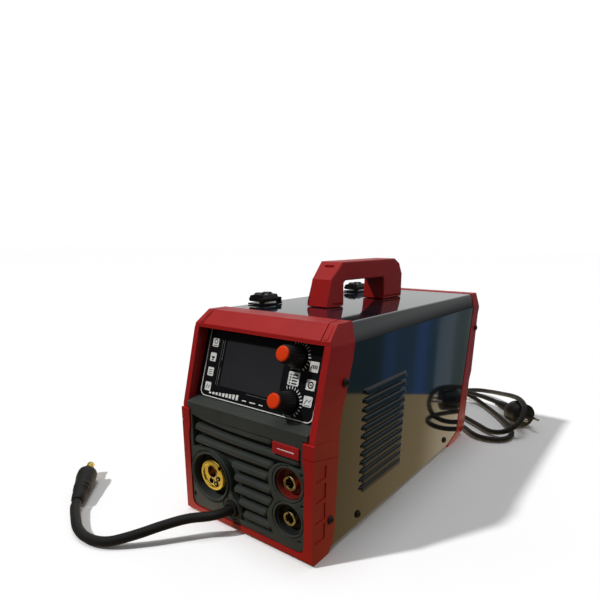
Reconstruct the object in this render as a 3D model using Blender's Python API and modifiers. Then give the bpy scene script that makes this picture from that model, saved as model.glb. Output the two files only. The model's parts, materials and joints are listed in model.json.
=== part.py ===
"""Portable inverter MIG welding machine, as an assembly of separate named pieces.

Metres. +X is the machine's right seen from the front, the front faces -Y, and +Z is up.
Inside this file y is counted back from the nose of the front bezel. The empty "machine" then
carries every piece forward, so that the origin lies under the middle of the machine.
"""

import math

import bmesh
import bpy
from mathutils import Matrix, Vector

# ---- driving dimensions -------------------------------------------------------------------
GAP = 0.0003                # between touching pieces
HALF = 0.0795               # half the width of both bezels
TOP = 0.2055                # height of both bezels
SHOULDER_Z = 0.1874         # where it meets the side
NOSE_TO_ORIGIN = 0.2019     # the origin lies this far behind the nose

SHEET = 0.0012              # sheet steel of the cover and the door
SHEET_SIDE = 0.0788         # outer face of the sheet metal
SHEET_TOP = 0.2048
SHEET_FOOT = 0.0045

WINDOW_HALF = 0.0730        # opening of the front bezel
PLATE_FACE_Y = 0.0012       # front face of the lower front plate
PANEL_BASE = (0.01143, 0.11685)     # y, z of the foot of the tilted control panel's plane
PANEL_TILT = math.radians(17.7)     # its lean back from vertical
PANEL_TOP = 0.0750          # its top edge, measured up the slope
PANEL_FOOT = 0.0075
DIAL_X = 0.0400
DIAL_HEIGHTS = {"current": 0.0610, "voltage": 0.0218}   # up the slope
SCREEN = (-0.0448, 0.0278, 0.0205, 0.0666)              # left, right, foot, top on the slope

TORCH = (-0.0440, 0.0480)           # x, z of the torch socket
SOCKETS = {"positive": (0.0526, 0.0707), "negative": (0.0526, 0.0364)}
LEAD_HOLE = (-0.0160, 0.0226)
LEAD_R = 0.00475

LATCHES = {"front": 0.1055, "rear": 0.2970}     # y of each door latch
LATCH_PIVOT = (-0.0535, 0.2092)                 # x, z
LATCH_LENGTH = 0.0300
LATCH_EAR = 0.0025
HINGE = (-0.0790, 0.0076)                       # x, z of the door's hinge rod
HINGE_R = 0.0030
KNUCKLES = (0.0800, 0.2890)                     # y where each door knuckle starts
KNUCKLE_LENGTH = 0.0200

HANDLE_HALF = 0.0135
REAR_PANEL_Y = 0.3772
REAR_PANEL = 0.0015
FAN = (0.0300, 0.1100)              # x, z of the fan's axle
FAN_SIZE = 0.0800
SWITCH = (-0.0450, 0.1550)
GAS = (-0.0480, 0.0500)
GLAND = (0.0400, 0.0350)
CORD_R = 0.00375

ROLL_Y = 0.1000
DRIVE_R = 0.0150
PRESSURE_R = 0.0110
WIRE_LINE = 0.0480
SPOOL = (0.2700, 0.1120)            # y, z of the spool's axle

COLOURS = {
    "red_plastic": ((0.42, 0.015, 0.018), 0.38, 0.0),
    "dark_plastic": ((0.035, 0.038, 0.040), 0.62, 0.0),
    "black_plastic": ((0.012, 0.012, 0.013), 0.35, 0.0),
    "panel_black": ((0.006, 0.006, 0.007), 0.12, 0.0),
    "screen_glass": ((0.030, 0.031, 0.033), 0.08, 0.0),
    "orange_plastic": ((0.85, 0.09, 0.01), 0.40, 0.0),
    "sheet_paint": ((0.045, 0.060, 0.075), 0.10, 0.3),
    "steel": ((0.55, 0.56, 0.57), 0.35, 1.0),
    "black_steel": ((0.02, 0.02, 0.02), 0.40, 0.6),
    "brass": ((0.78, 0.56, 0.20), 0.28, 1.0),
    "aluminium": ((0.72, 0.73, 0.74), 0.40, 1.0),
    "rubber": ((0.018, 0.018, 0.018), 0.75, 0.0),
    "maroon_plastic": ((0.16, 0.012, 0.012), 0.40, 0.0),
    "board_green": ((0.02, 0.16, 0.06), 0.45, 0.0),
    "wire_copper": ((0.70, 0.33, 0.18), 0.35, 1.0),
}

# Turns that carry a piece drawn in its own axes onto the machine's.
SIDE_VIEW = Matrix(((0, 0, 1, 0), (1, 0, 0, 0), (0, 1, 0, 0), (0, 0, 0, 1)))    # outline is y, z
FRONT_VIEW = Matrix(((1, 0, 0, 0), (0, 0, -1, 0), (0, 1, 0, 0), (0, 0, 0, 1)))  # outline is x, z
FORWARD = Matrix.Rotation(math.radians(90), 4, "X")         # local +Z points at the front
BACKWARD = Matrix.Rotation(math.radians(-90), 4, "X")
SIDEWAYS = Matrix.Rotation(math.radians(90), 4, "Y")        # local +Z points at +X
PANEL_TURN = Matrix.Rotation(math.radians(90) - PANEL_TILT, 4, "X")

for old in list(bpy.data.objects):
    bpy.data.objects.remove(old, do_unlink=True)

parts = bpy.data.collections.new("mig_welding_machine")
cutters = bpy.data.collections.new("cutters")
bpy.context.scene.collection.children.link(parts)
bpy.context.scene.collection.children.link(cutters)
machine = bpy.data.objects.new("machine", None)
machine.location = (0, -NOSE_TO_ORIGIN, 0)
parts.objects.link(machine)


# ---- helpers ------------------------------------------------------------------------------
def material(name):
    found = bpy.data.materials.get(name)
    if found:
        return found
    colour, roughness, metallic = COLOURS[name]
    made = bpy.data.materials.new(name)
    made.use_nodes = True
    shader = made.node_tree.nodes["Principled BSDF"]
    shader.inputs["Base Color"].default_value = (*colour, 1)
    shader.inputs["Roughness"].default_value = roughness
    shader.inputs["Metallic"].default_value = metallic
    return made


def keep(name, mesh, slot, origin=(0, 0, 0), smooth=True):
    """Links a mesh drawn in the machine's axes, with its object's origin at a chosen point."""
    mesh.transform(Matrix.Translation(-Vector(origin)))
    mesh.materials.clear()
    mesh.materials.append(material(slot))
    if smooth:
        mesh.shade_smooth()
        mesh.set_sharp_from_angle(angle=math.radians(35))
    made = bpy.data.objects.new(name, mesh)
    made.location = origin
    made.parent = machine
    parts.objects.link(made)
    return made


def as_cutter(mesh, name="cut"):
    made = bpy.data.objects.new(name, mesh)
    made.parent = machine
    made.hide_render = True
    made.display_type = "WIRE"
    cutters.objects.link(made)
    return made


def boolean(target, mesh, operation="DIFFERENCE"):
    """Cuts or joins one closed mesh, drawn in the machine's axes."""
    tool = as_cutter(mesh, f"{target.name}_{operation.lower()}")
    step = target.modifiers.new(operation.lower(), "BOOLEAN")
    step.operation = operation
    step.object = tool


def box_mesh(low, high):
    made = bmesh.new()
    bmesh.ops.create_cube(made, size=1)
    size = Vector(high) - Vector(low)
    bmesh.ops.scale(made, vec=size, verts=made.verts)
    bmesh.ops.translate(made, vec=(Vector(high) + Vector(low)) / 2, verts=made.verts)
    return bmesh_to_mesh(made)


def bmesh_to_mesh(made):
    mesh = bpy.data.meshes.new("mesh")
    made.to_mesh(mesh)
    made.free()
    return mesh


def rod_mesh(start, end, radius, segments=20, end_radius=None):
    """A cylinder or cone between two points."""
    start = Vector(start)
    end = Vector(end)
    run = end - start
    turn = run.to_track_quat("Z", "Y").to_matrix().to_4x4()
    made = bmesh.new()
    bmesh.ops.create_cone(
        made, cap_ends=True, segments=segments, radius1=radius,
        radius2=radius if end_radius is None else end_radius, depth=run.length,
        matrix=Matrix.Translation((start + end) / 2) @ turn,
    )
    return bmesh_to_mesh(made)


def curve_to_mesh(curve):
    """A filled curve as one welded mesh."""
    source = bpy.data.objects.new("outline", curve)
    bpy.context.scene.collection.objects.link(source)
    bpy.context.view_layer.update()
    ready = source.evaluated_get(bpy.context.evaluated_depsgraph_get())
    mesh = bpy.data.meshes.new_from_object(ready)
    bpy.data.objects.remove(source, do_unlink=True)
    work = bmesh.new()
    work.from_mesh(mesh)
    bmesh.ops.remove_doubles(work, verts=work.verts, dist=1e-6)
    work.to_mesh(mesh)
    work.free()
    return mesh


def outline_mesh(points, low, high, view=None):
    """A flat outline, extruded from low to high across the view that it is drawn in."""
    curve = bpy.data.curves.new("outline", "CURVE")
    curve.dimensions = "2D"
    curve.fill_mode = "BOTH"
    curve.extrude = (high - low) / 2
    spline = curve.splines.new("POLY")
    spline.points.add(len(points) - 1)
    for point, (u, v) in zip(spline.points, points):
        point.co = (u, v, 0, 1)
    spline.use_cyclic_u = True
    mesh = curve_to_mesh(curve)
    middle = (high + low) / 2
    if view is FRONT_VIEW:
        middle = -middle
    mesh.transform(Matrix.Translation((0, 0, middle)))
    if view is not None:
        mesh.transform(view)
    return mesh


def turned(name, profile, slot, place, origin=(0, 0, 0), steps=24, ring=False):
    """A profile of (radius, height) turned about its own Z, then put in place.

    The profile runs down its outer side. A ring's profile is closed and clear of the axis.
    """
    work = bmesh.new()
    points = [work.verts.new((radius, 0, height)) for radius, height in profile]
    pairs = list(zip(points, points[1:]))
    if ring:
        pairs.append((points[-1], points[0]))
    for first, second in pairs:
        work.edges.new((first, second))
    mesh = bmesh_to_mesh(work)
    source = bpy.data.objects.new("profile", mesh)
    bpy.context.scene.collection.objects.link(source)
    screw = source.modifiers.new("turn", "SCREW")
    screw.steps = steps
    screw.render_steps = steps
    screw.use_merge_vertices = True
    screw.merge_threshold = 0.00001
    bpy.context.view_layer.update()
    solid = bpy.data.meshes.new_from_object(source.evaluated_get(bpy.context.evaluated_depsgraph_get()))
    bpy.data.objects.remove(source, do_unlink=True)
    solid.transform(place)
    if name is None:
        return solid
    return keep(name, solid, slot, origin)


def block(name, low, high, slot, origin=(0, 0, 0)):
    return keep(name, box_mesh(low, high), slot, origin, smooth=False)


def on_panel(x, up, out):
    """A point on the tilted control panel: x, distance up the slope, distance out of it."""
    y = PANEL_BASE[0] + up * math.sin(PANEL_TILT) - out * math.cos(PANEL_TILT)
    z = PANEL_BASE[1] + up * math.cos(PANEL_TILT) + out * math.sin(PANEL_TILT)
    return Vector((x, y, z))


def panel_place(x, up):
    """Local +Z points out of the panel, and the origin lies on its face."""
    return Matrix.Translation(on_panel(x, up, 0)) @ PANEL_TURN


def panel_box(left, right, foot, top, inner, outer):
    """A box square to the panel, from an inner to an outer distance out of its face."""
    mesh = box_mesh((left, foot, inner), (right, top, outer))
    mesh.transform(panel_place(0, 0))
    return mesh


def facing(x, z, y=0.0):
    """Local +Z points at the front, with the origin on the axis through (x, z)."""
    return Matrix.Translation((x, y, z)) @ FORWARD


def shoulder_cutters(target, front, back):
    """Bevels the two top corners of a bezel along its whole depth."""
    for side in (-1, 1):
        points = [(side * 0.0722, 0.2155), (side * 0.0821, 0.1774), (side * 0.0950, 0.2155)]
        boolean(target, outline_mesh(points, front, back, FRONT_VIEW))


# ---- the two bezels -----------------------------------------------------------------------
BEZEL_REAR = [
    (0.0260, 0.0000), (0.0330, 0.0080), (0.0355, 0.0220), (0.0372, 0.0690), (0.0389, 0.1090),
    (0.0405, 0.1250), (0.0470, 0.1447), (0.0562, 0.1730), (0.0587, SHOULDER_Z), (0.0600, TOP),
]
BEZEL_FRONT = [
    (0.0375, TOP), (0.0225, 0.1935), (0.0222, 0.1905), (0.0008, 0.1140), (0.0000, 0.1130),
    (0.0000, 0.0035), (0.0035, 0.0000),
]
REAR_BEZEL_INNER = [
    (0.3690, TOP), (0.3690, SHOULDER_Z), (0.3545, 0.0315), (0.3545, 0.0134), (0.3230, 0.0042),
    (0.3230, 0.0000),
]
REAR_BEZEL_OUTER = [
    (0.3500, 0.0000), (0.3840, 0.0090), (0.3855, 0.0830), (0.3905, 0.0950), (0.3905, 0.1760),
    (0.3930, 0.1840), (0.3880, TOP),
]


def front_bezel():
    bezel = keep("front_bezel", outline_mesh(BEZEL_REAR + BEZEL_FRONT, -HALF, HALF, SIDE_VIEW),
                 "red_plastic")
    shoulder_cutters(bezel, -0.01, 0.08)
    window = [
        (-0.01, 0.0095), (0.08, 0.0095), (0.08, 0.2022), (0.0390, 0.2022), (0.0255, 0.1900),
        (-0.01, 0.1900),
    ]
    boolean(bezel, outline_mesh(window, -WINDOW_HALF, WINDOW_HALF, SIDE_VIEW))
    inside = [
        (0.0160, 0.0030), (0.08, 0.0030), (0.08, 0.1850), (0.0375, 0.1850), (0.0190, 0.1240),
        (0.0160, 0.1130),
    ]
    boolean(bezel, outline_mesh(inside, -HALF + 0.003, HALF - 0.003, SIDE_VIEW))
    screw_holes(bezel, "front_")
    return bezel


def rear_bezel():
    outline = REAR_BEZEL_OUTER + REAR_BEZEL_INNER
    bezel = keep("rear_bezel", outline_mesh(outline, -HALF, HALF, SIDE_VIEW), "red_plastic")
    shoulder_cutters(bezel, 0.30, 0.41)
    lip = 0.0040
    boolean(bezel, outline_mesh(
        [(-HALF + 0.003, 0.0030), (HALF - 0.003, 0.0030), (HALF - 0.003, 0.1850),
         (0.0715, 0.2022), (-0.0715, 0.2022), (-HALF + 0.003, 0.1850)],
        0.30, REAR_PANEL_Y + REAR_PANEL + GAP, FRONT_VIEW))
    boolean(bezel, outline_mesh(
        [(-0.0765 + lip, 0.0110), (0.0765 - lip, 0.0110), (0.0765 - lip, 0.1840),
         (0.0670, 0.1960), (-0.0670, 0.1960), (-0.0765 + lip, 0.1840)],
        0.37, 0.41, FRONT_VIEW))
    screw_holes(bezel, "screw_rear")
    return bezel


# ---- front plate, panel and its controls --------------------------------------------------
def front_plate():
    face = PLATE_FACE_Y
    outline = [
        (face, 0.0098), (face + 0.003, 0.0098), (face + 0.003, 0.1175), (0.0147, 0.1207),
        (0.0138, 0.1236), (face, 0.1198),
    ]
    half = WINDOW_HALF - GAP
    plate = keep("front_plate", outline_mesh(outline, -half, half, SIDE_VIEW), "dark_plastic")
    for index in range(7):
        z = 0.1040 - index * 0.0128
        left = -0.0640 if z > 0.0760 else -0.0150
        boolean(plate, box_mesh((left, face - 0.01, z - 0.0040), (0.0330, face + 0.0014, z)))
    boolean(plate, rod_mesh((TORCH[0], -0.01, TORCH[1]), (TORCH[0], 0.02, TORCH[1]), 0.0256, 32))
    for x, z in SOCKETS.values():
        boolean(plate, rod_mesh((x, -0.01, z), (x, 0.02, z), 0.0148, 24))
    x, z = LEAD_HOLE
    boolean(plate, rod_mesh((x, -0.01, z), (x, 0.02, z), 0.0088, 20))
    return plate


def control_panel():
    half = WINDOW_HALF - GAP
    panel = keep("control_panel", panel_box(-half, half, PANEL_FOOT, PANEL_TOP, -0.0025, 0.0),
                 "panel_black", smooth=False)
    boolean(panel, panel_box(SCREEN[0], SCREEN[1], SCREEN[2], SCREEN[3], -0.01, 0.01))
    for up in DIAL_HEIGHTS.values():
        boolean(panel, rod_mesh(on_panel(DIAL_X, up, -0.01), on_panel(DIAL_X, up, 0.01), 0.0045, 16))
    left, right, foot, top = SCREEN
    keep("display_window",
         panel_box(left + GAP, right - GAP, foot + GAP, top - GAP, -0.0022, -0.0004),
         "screen_glass", smooth=False)
    board = keep("control_board", panel_box(-0.068, 0.068, 0.012, 0.070, -0.0125, -0.0109),
                 "board_green", smooth=False)
    for up in DIAL_HEIGHTS.values():
        boolean(board, rod_mesh(on_panel(DIAL_X, up, -0.0112), on_panel(DIAL_X, up, -0.0035), 0.0065, 16),
                "UNION")
        boolean(board, rod_mesh(on_panel(DIAL_X, up, -0.0040), on_panel(DIAL_X, up, 0.0115), 0.0030, 12),
                "UNION")
    boolean(board, panel_box(-0.040, 0.024, 0.024, 0.064, -0.0112, -0.0040), "UNION")


def knob(which):
    """A tapered black barrel, bored for the encoder's shaft, and a coloured cap let into its front."""
    place = panel_place(DIAL_X, DIAL_HEIGHTS[which])
    origin = on_panel(DIAL_X, DIAL_HEIGHTS[which], 0)
    barrel = [
        (0.0, 0.0190), (0.0069, 0.0190), (0.0069, 0.0203), (0.0073, 0.0206), (0.0077, 0.0200),
        (0.0095, 0.0040), (0.0095, 0.0010), (0.0033, 0.0010), (0.0033, 0.0120), (0.0, 0.0120),
    ]
    cap = [(0.0, 0.0222), (0.0060, 0.0222), (0.0066, 0.0216), (0.0066, 0.0193), (0.0, 0.0193)]
    turned(f"{which}_knob", barrel, "black_plastic", place, origin)
    turned(f"{which}_knob_cap", cap, "orange_plastic", place, origin)


# ---- front sockets ------------------------------------------------------------------------
def torch_socket():
    place = facing(*TORCH)
    collar = [(0.0250, 0.0004), (0.0250, -0.0180), (0.0171, -0.0180), (0.0171, -0.0150),
              (0.0225, -0.0150), (0.0225, 0.0004)]
    turned("torch_socket_collar", collar, "dark_plastic", place, steps=32, ring=True)
    body = [(0.0, -0.0035), (0.0160, -0.0035), (0.0167, -0.0045), (0.0167, -0.0300),
            (0.0080, -0.0300), (0.0080, -0.0600), (0.0, -0.0600)]
    body = turned("torch_socket_body", body, "brass", place)
    x, z = TORCH
    holes = [(0.0, 0.0030, 0.0046), (0.0, -0.0075, 0.0026), (0.0085, -0.0045, 0.0019),
             (0.0055, -0.0100, 0.0019)]
    for dx, dz, radius in holes:
        boolean(body, rod_mesh((x + dx, -0.01, z + dz), (x + dx, 0.0240, z + dz), radius, 14))


def power_socket(which, slot):
    place = facing(*SOCKETS[which])
    shell = [(0.0145, 0.0005), (0.0145, -0.0090), (0.0110, -0.0090), (0.0110, -0.0300),
             (0.0071, -0.0300), (0.0071, -0.0065), (0.0128, -0.0065), (0.0128, 0.0005)]
    turned(f"{which}_socket_shell", shell, slot, place, ring=True)
    contact = [(0.0, -0.0280), (0.0046, -0.0280), (0.0046, -0.0035), (0.0068, -0.0035),
               (0.0068, -0.0360), (0.0, -0.0360)]
    turned(f"{which}_socket_contact", contact, "brass", place, steps=20)


def lead_grommet():
    ring = [(0.0085, 0.0020), (0.0085, -0.0060), (0.0052, -0.0060), (0.0052, 0.0020)]
    turned("lead_grommet", ring, "rubber", facing(*LEAD_HOLE), steps=20, ring=True)


def badge_plate():
    block("badge_plate", (0.0365, PLATE_FACE_Y - 0.0013, 0.0965),
          (0.0650, PLATE_FACE_Y - GAP, 0.1070), "red_plastic")


# ---- cords --------------------------------------------------------------------------------
LEAD_ROUTE = [
    (-0.0160, 0.0120, 0.0226), (-0.0160, -0.0060, 0.0226), (-0.0225, -0.0195, 0.0222),
    (-0.0385, -0.0350, 0.0206), (-0.0518, -0.0530, 0.0172), (-0.0660, -0.0712, 0.0118),
    (-0.0815, -0.0865, 0.0068), (-0.0950, -0.0937, 0.0051), (-0.1110, -0.0962, 0.0050),
    (-0.1290, -0.0930, 0.0054), (-0.1460, -0.0855, 0.0062), (-0.1620, -0.0772, 0.0072),
    (-0.1700, -0.0705, 0.0077),
]
BOOT_LENGTH = 0.0622

MAINS_ROUTE = [
    (0.0400, 0.4090, 0.0350), (0.0400, 0.4270, 0.0345), (0.0375, 0.4500, 0.0270),
    (0.0260, 0.4840, 0.0125), (0.0090, 0.5240, 0.0046), (0.0010, 0.5560, 0.0045),
    (0.0090, 0.5840, 0.0050), (0.0340, 0.5960, 0.0080), (0.0620, 0.5810, 0.0140),
    (0.0900, 0.5430, 0.0250), (0.1150, 0.5030, 0.0360), (0.1340, 0.4670, 0.0430),
    (0.1470, 0.4400, 0.0400), (0.1470, 0.4190, 0.0250), (0.1330, 0.4060, 0.0110),
    (0.1120, 0.4070, 0.0050), (0.0860, 0.4260, 0.0044), (0.0550, 0.4480, 0.0044),
    (0.0140, 0.4660, 0.0044), (-0.0170, 0.4920, 0.0052), (-0.0160, 0.5260, 0.0095),
    (0.0090, 0.5490, 0.0135), (0.0400, 0.5480, 0.0080), (0.0670, 0.5260, 0.0046),
    (0.0910, 0.4980, 0.0044), (0.1165, 0.4630, 0.0044), (0.1350, 0.4310, 0.0044),
    (0.1400, 0.4050, 0.0044), (0.1320, 0.3860, 0.0044), (0.1140, 0.3770, 0.0044),
    (0.0950, 0.3820, 0.0044), (0.0660, 0.4080, 0.0044), (0.0180, 0.4360, 0.0044),
    (-0.0240, 0.4580, 0.0046), (-0.0430, 0.4880, 0.0070), (-0.0360, 0.5180, 0.0140),
    (-0.0080, 0.5370, 0.0205), (0.0460, 0.5400, 0.0165), (0.0820, 0.5190, 0.0180),
    (0.0920, 0.5102, 0.0182),
]
PLUG_R = 0.0180


def smooth_route(points, step):
    """Points about a step apart along a smooth curve through a cord's chosen points."""
    route = [Vector(point) for point in points]
    route = [2 * route[0] - route[1]] + route + [2 * route[-1] - route[-2]]
    dense = []
    for before, first, second, after in zip(route, route[1:], route[2:], route[3:]):
        for index in range(24):
            t = index / 24
            dense.append(0.5 * (
                2 * first + (second - before) * t
                + (2 * before - 5 * first + 4 * second - after) * t ** 2
                + (3 * first - before - 3 * second + after) * t ** 3
            ))
    dense.append(route[-2])
    length = sum((b - a).length for a, b in zip(dense, dense[1:]))
    spacing = length / max(2, round(length / step))
    even = [dense[0]]
    travelled = 0.0
    for a, b in zip(dense, dense[1:]):
        travelled += (b - a).length
        if travelled >= spacing * len(even) - 1e-6 and len(even) * spacing < length - spacing / 2:
            even.append(b)
    even.append(dense[-1])
    return even


def cord(name, points, radius, step):
    curve = bpy.data.curves.new(name, "CURVE")
    curve.dimensions = "3D"
    curve.bevel_depth = radius
    curve.bevel_resolution = 2
    curve.use_fill_caps = True
    route = smooth_route(points, step)
    spline = curve.splines.new("POLY")
    spline.points.add(len(route) - 1)
    for point, place in zip(spline.points, route):
        point.co = (*place, 1)
    mesh = curve_to_mesh(curve)
    return keep(name, mesh, "rubber")


def end_place(route):
    """Local +Z runs on from the end of a cord."""
    end = Vector(route[-1])
    along = end - Vector(route[-2])
    return Matrix.Translation(end) @ along.to_track_quat("Z", "Y").to_matrix().to_4x4()


def polarity_lead():
    cord("polarity_lead", LEAD_ROUTE, LEAD_R, 0.0110)
    place = end_place(LEAD_ROUTE)
    length = BOOT_LENGTH
    near = 2 * GAP
    boot = [
        (0.0, length - 0.0200), (0.0048, length - 0.0200), (0.0048, length), (0.0085, length),
        (0.0104, length - 0.0030), (0.0106, length - 0.0120), (0.0092, length - 0.0260),
        (0.0070, 0.0080), (0.0068, near), (0.0, near),
    ]
    turned("polarity_plug_boot", boot, "rubber", place, steps=20)
    pin = [(0.0, length + 0.0200), (0.0036, length + 0.0200), (0.0044, length + 0.0185),
           (0.0044, length - 0.0190), (0.0, length - 0.0190)]
    turned("polarity_plug_pin", pin, "brass", place, steps=16)


# ---- cover and door -----------------------------------------------------------------------
def sheet(name, section, front, back, slot, origin=(0, 0, 0)):
    """Folded sheet metal: a section of (x, z) corners run from front to back, thickened inwards."""
    work = bmesh.new()
    corners = [work.verts.new((x, front, z)) for x, z in section]
    edges = [work.edges.new(pair) for pair in zip(corners, corners[1:])]
    grown = bmesh.ops.extrude_edge_only(work, edges=edges)
    moved = [item for item in grown["geom"] if isinstance(item, bmesh.types.BMVert)]
    bmesh.ops.translate(work, vec=(0, back - front, 0), verts=moved)
    bmesh.ops.recalc_face_normals(work, faces=work.faces)
    made = keep(name, bmesh_to_mesh(work), slot, origin, smooth=False)
    middle = Vector((0, (front + back) / 2, 0.1))
    face = made.data.polygons[0]
    outward = face.normal.dot(Vector(face.center) + Vector(origin) - middle) > 0
    solid = made.modifiers.new("thickness", "SOLIDIFY")
    solid.thickness = SHEET
    solid.offset = -1 if outward else 1
    solid.use_even_offset = True
    return made


def trim_to_bezels(target):
    """Cuts the sheet's ends to the edges of the two bezels, leaving a small gap."""
    ahead = [(y + GAP, z) for y, z in BEZEL_REAR]
    boolean(target, outline_mesh([(-0.02, -0.02), (ahead[0][0], -0.02)] + ahead
                                 + [(ahead[-1][0], 0.25), (-0.02, 0.25)], -0.12, 0.12, SIDE_VIEW))
    behind = [(y - GAP, z) for y, z in REAR_BEZEL_INNER]
    boolean(target, outline_mesh([(0.42, 0.25), (behind[0][0], 0.25)] + behind
                                 + [(behind[-1][0], -0.02), (0.42, -0.02)], -0.12, 0.12, SIDE_VIEW))


LOUVRES = 12
LOUVRE_PITCH = 0.0089
LOUVRE_FOOT = 0.0372
LOUVRE_Y = (0.0785, 0.1665)
SCREW_PLACES = {
    "side_screw_front_upper": (HALF, 0.0445, 0.1562), "side_screw_front_lower": (HALF, 0.0275, 0.0340),
    "side_screw_foot_front": (SHEET_SIDE, 0.0780, 0.0150),
    "side_screw_foot_rear": (SHEET_SIDE, 0.3060, 0.0165),
    "side_screw_rear": (HALF, 0.3845, 0.1580),
}


def cover():
    section = [(-0.0722, SHEET_TOP), (0.0742, SHEET_TOP), (SHEET_SIDE, 0.1872), (SHEET_SIDE, SHEET_FOOT)]
    made = sheet("cover", section, 0.020, 0.385, "sheet_paint")
    trim_to_bezels(made)
    for index in range(LOUVRES):
        foot = LOUVRE_FOOT + index * LOUVRE_PITCH
        profile = [
            (SHEET_SIDE - 0.0008, foot), (SHEET_SIDE + 0.0024, foot + 0.0006),
            (SHEET_SIDE + 0.0024, foot + 0.0022), (SHEET_SIDE - 0.0008, foot + 0.0064),
        ]
        boolean(made, outline_mesh(profile, LOUVRE_Y[0], LOUVRE_Y[1], FRONT_VIEW), "UNION")
    screw_holes(made, "foot")
    return made


def screw_holes(target, which):
    """Clearance holes for the side screws whose names hold a word."""
    for name, (x, y, z) in SCREW_PLACES.items():
        if which in name:
            boolean(target, rod_mesh((x - 0.0090, y, z), (x + 0.0100, y, z), 0.0018, 12))


def side_screws():
    for name, (x, y, z) in SCREW_PLACES.items():
        place = Matrix.Translation((x + GAP, y, z)) @ SIDEWAYS
        profile = [(0.0, 0.0022), (0.0024, 0.0020), (0.0040, 0.0007), (0.0040, 0.0), (0.0015, 0.0),
                   (0.0015, -0.0060), (0.0, -0.0060)]
        turned(name, profile, "black_steel", place, steps=16)


def wire_door():
    section = [(-0.0742, 0.2044), (-SHEET_SIDE, 0.1872), (-SHEET_SIDE, 0.0085)]
    door = sheet("wire_door", section, 0.020, 0.385, "sheet_paint", origin=(HINGE[0], 0, HINGE[1]))
    trim_to_bezels(door)
    boolean(door, box_mesh((-0.09, KNUCKLES[0] + KNUCKLE_LENGTH, 0.0), (-0.07, KNUCKLES[1], 0.0120)))
    boolean(door, box_mesh((-0.09, 0.0, 0.0), (-0.07, KNUCKLES[0], 0.0120)))
    boolean(door, box_mesh((-0.09, KNUCKLES[1] + KNUCKLE_LENGTH, 0.0), (-0.07, 0.40, 0.0120)))
    for start in KNUCKLES:
        end = start + KNUCKLE_LENGTH
        boolean(door, rod_mesh((HINGE[0], start, HINGE[1]), (HINGE[0], end, HINGE[1]), HINGE_R, 16),
                "UNION")
        boolean(door, rod_mesh((HINGE[0], start - 0.001, HINGE[1]), (HINGE[0], end + 0.001, HINGE[1]),
                               0.0018, 12))
    return door


def base_tray():
    front = 0.0400
    back = 0.3720
    tray = keep("base_tray", outline_mesh(
        [(-0.0757, 0.0220), (-0.0757, 0.0040), (0.0757, 0.0040), (0.0757, 0.0220), (0.0745, 0.0220),
         (0.0745, 0.0055), (-0.0745, 0.0055), (-0.0745, 0.0220)], front, back, FRONT_VIEW), "steel")
    screw_holes(tray, "foot")
    for start in KNUCKLES:
        for low in (start - GAP - 0.0100, start + KNUCKLE_LENGTH + GAP):
            high = low + 0.0100
            boolean(tray, rod_mesh((HINGE[0], low, HINGE[1]), (HINGE[0], high, HINGE[1]), HINGE_R, 16),
                    "UNION")
            boolean(tray, box_mesh((HINGE[0] + 0.0012, low, 0.0048), (-0.0750, high, 0.0090)), "UNION")
            boolean(tray, rod_mesh((HINGE[0], low - 0.001, HINGE[1]), (HINGE[0], high + 0.001, HINGE[1]),
                                   0.0018, 12))
    keep("door_hinge_rod", rod_mesh((HINGE[0], KNUCKLES[0] - 0.012, HINGE[1]),
                                    (HINGE[0], KNUCKLES[1] + KNUCKLE_LENGTH + 0.012, HINGE[1]),
                                    0.0015, 12), "steel")
    return tray


def latch(which):
    """A plastic toggle on its base: the lever turns up about a pivot along the machine."""
    y = LATCHES[which]
    half = LATCH_LENGTH / 2
    x, z = LATCH_PIVOT
    foot = SHEET_TOP + GAP
    base = block(f"latch_base_{which}", (-0.0725, y - half, foot), (-0.0495, y + half, foot + 0.0016),
                 "black_plastic")
    for side in (-1, 1):
        near = y + side * (half - LATCH_EAR)
        far = y + side * half
        boolean(base, box_mesh((x - 0.0030, min(near, far), foot + 0.0010),
                               (x + 0.0030, max(near, far), z + 0.0030)), "UNION")
    pivot = (x, y, z)
    profile = [
        (x + 0.0018, z - 0.0012), (x + 0.0014, z + 0.0022), (x - 0.0010, z + 0.0062),
        (x - 0.0100, z + 0.0066), (x - 0.0180, z + 0.0052), (x - 0.0205, z + 0.0008),
        (x - 0.0190, z - 0.0012),
    ]
    inner = half - LATCH_EAR - GAP
    lever = keep(f"latch_lever_{which}", outline_mesh(profile, y - inner, y + inner, FRONT_VIEW),
                 "black_plastic", pivot)
    for shift in (-0.0060, 0.0060):
        boolean(lever, rod_mesh((x - 0.0150, y + shift, z + 0.0035), (x - 0.0050, y + shift, z + 0.0040),
                                0.0045, 14), "UNION")


def handle():
    """Moulded carrying handle: two legs and a grip, bevelled along its edges."""
    foot = SHEET_TOP + GAP
    outline = [
        (0.1170, foot), (0.1440, foot), (0.1440, 0.2285), (0.1475, 0.2310), (0.2295, 0.2310),
        (0.2330, 0.2275), (0.2330, foot), (0.2812, foot), (0.2805, 0.2330), (0.2715, 0.2458),
        (0.2590, 0.2515), (0.1405, 0.2500), (0.1245, 0.2325),
    ]
    made = keep("handle", outline_mesh(outline, -HANDLE_HALF, HANDLE_HALF, SIDE_VIEW), "red_plastic")
    edge = made.modifiers.new("edges", "BEVEL")
    edge.width = 0.0030
    edge.segments = 1
    edge.limit_method = "ANGLE"
    edge.angle_limit = math.radians(60)
    return made


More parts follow.
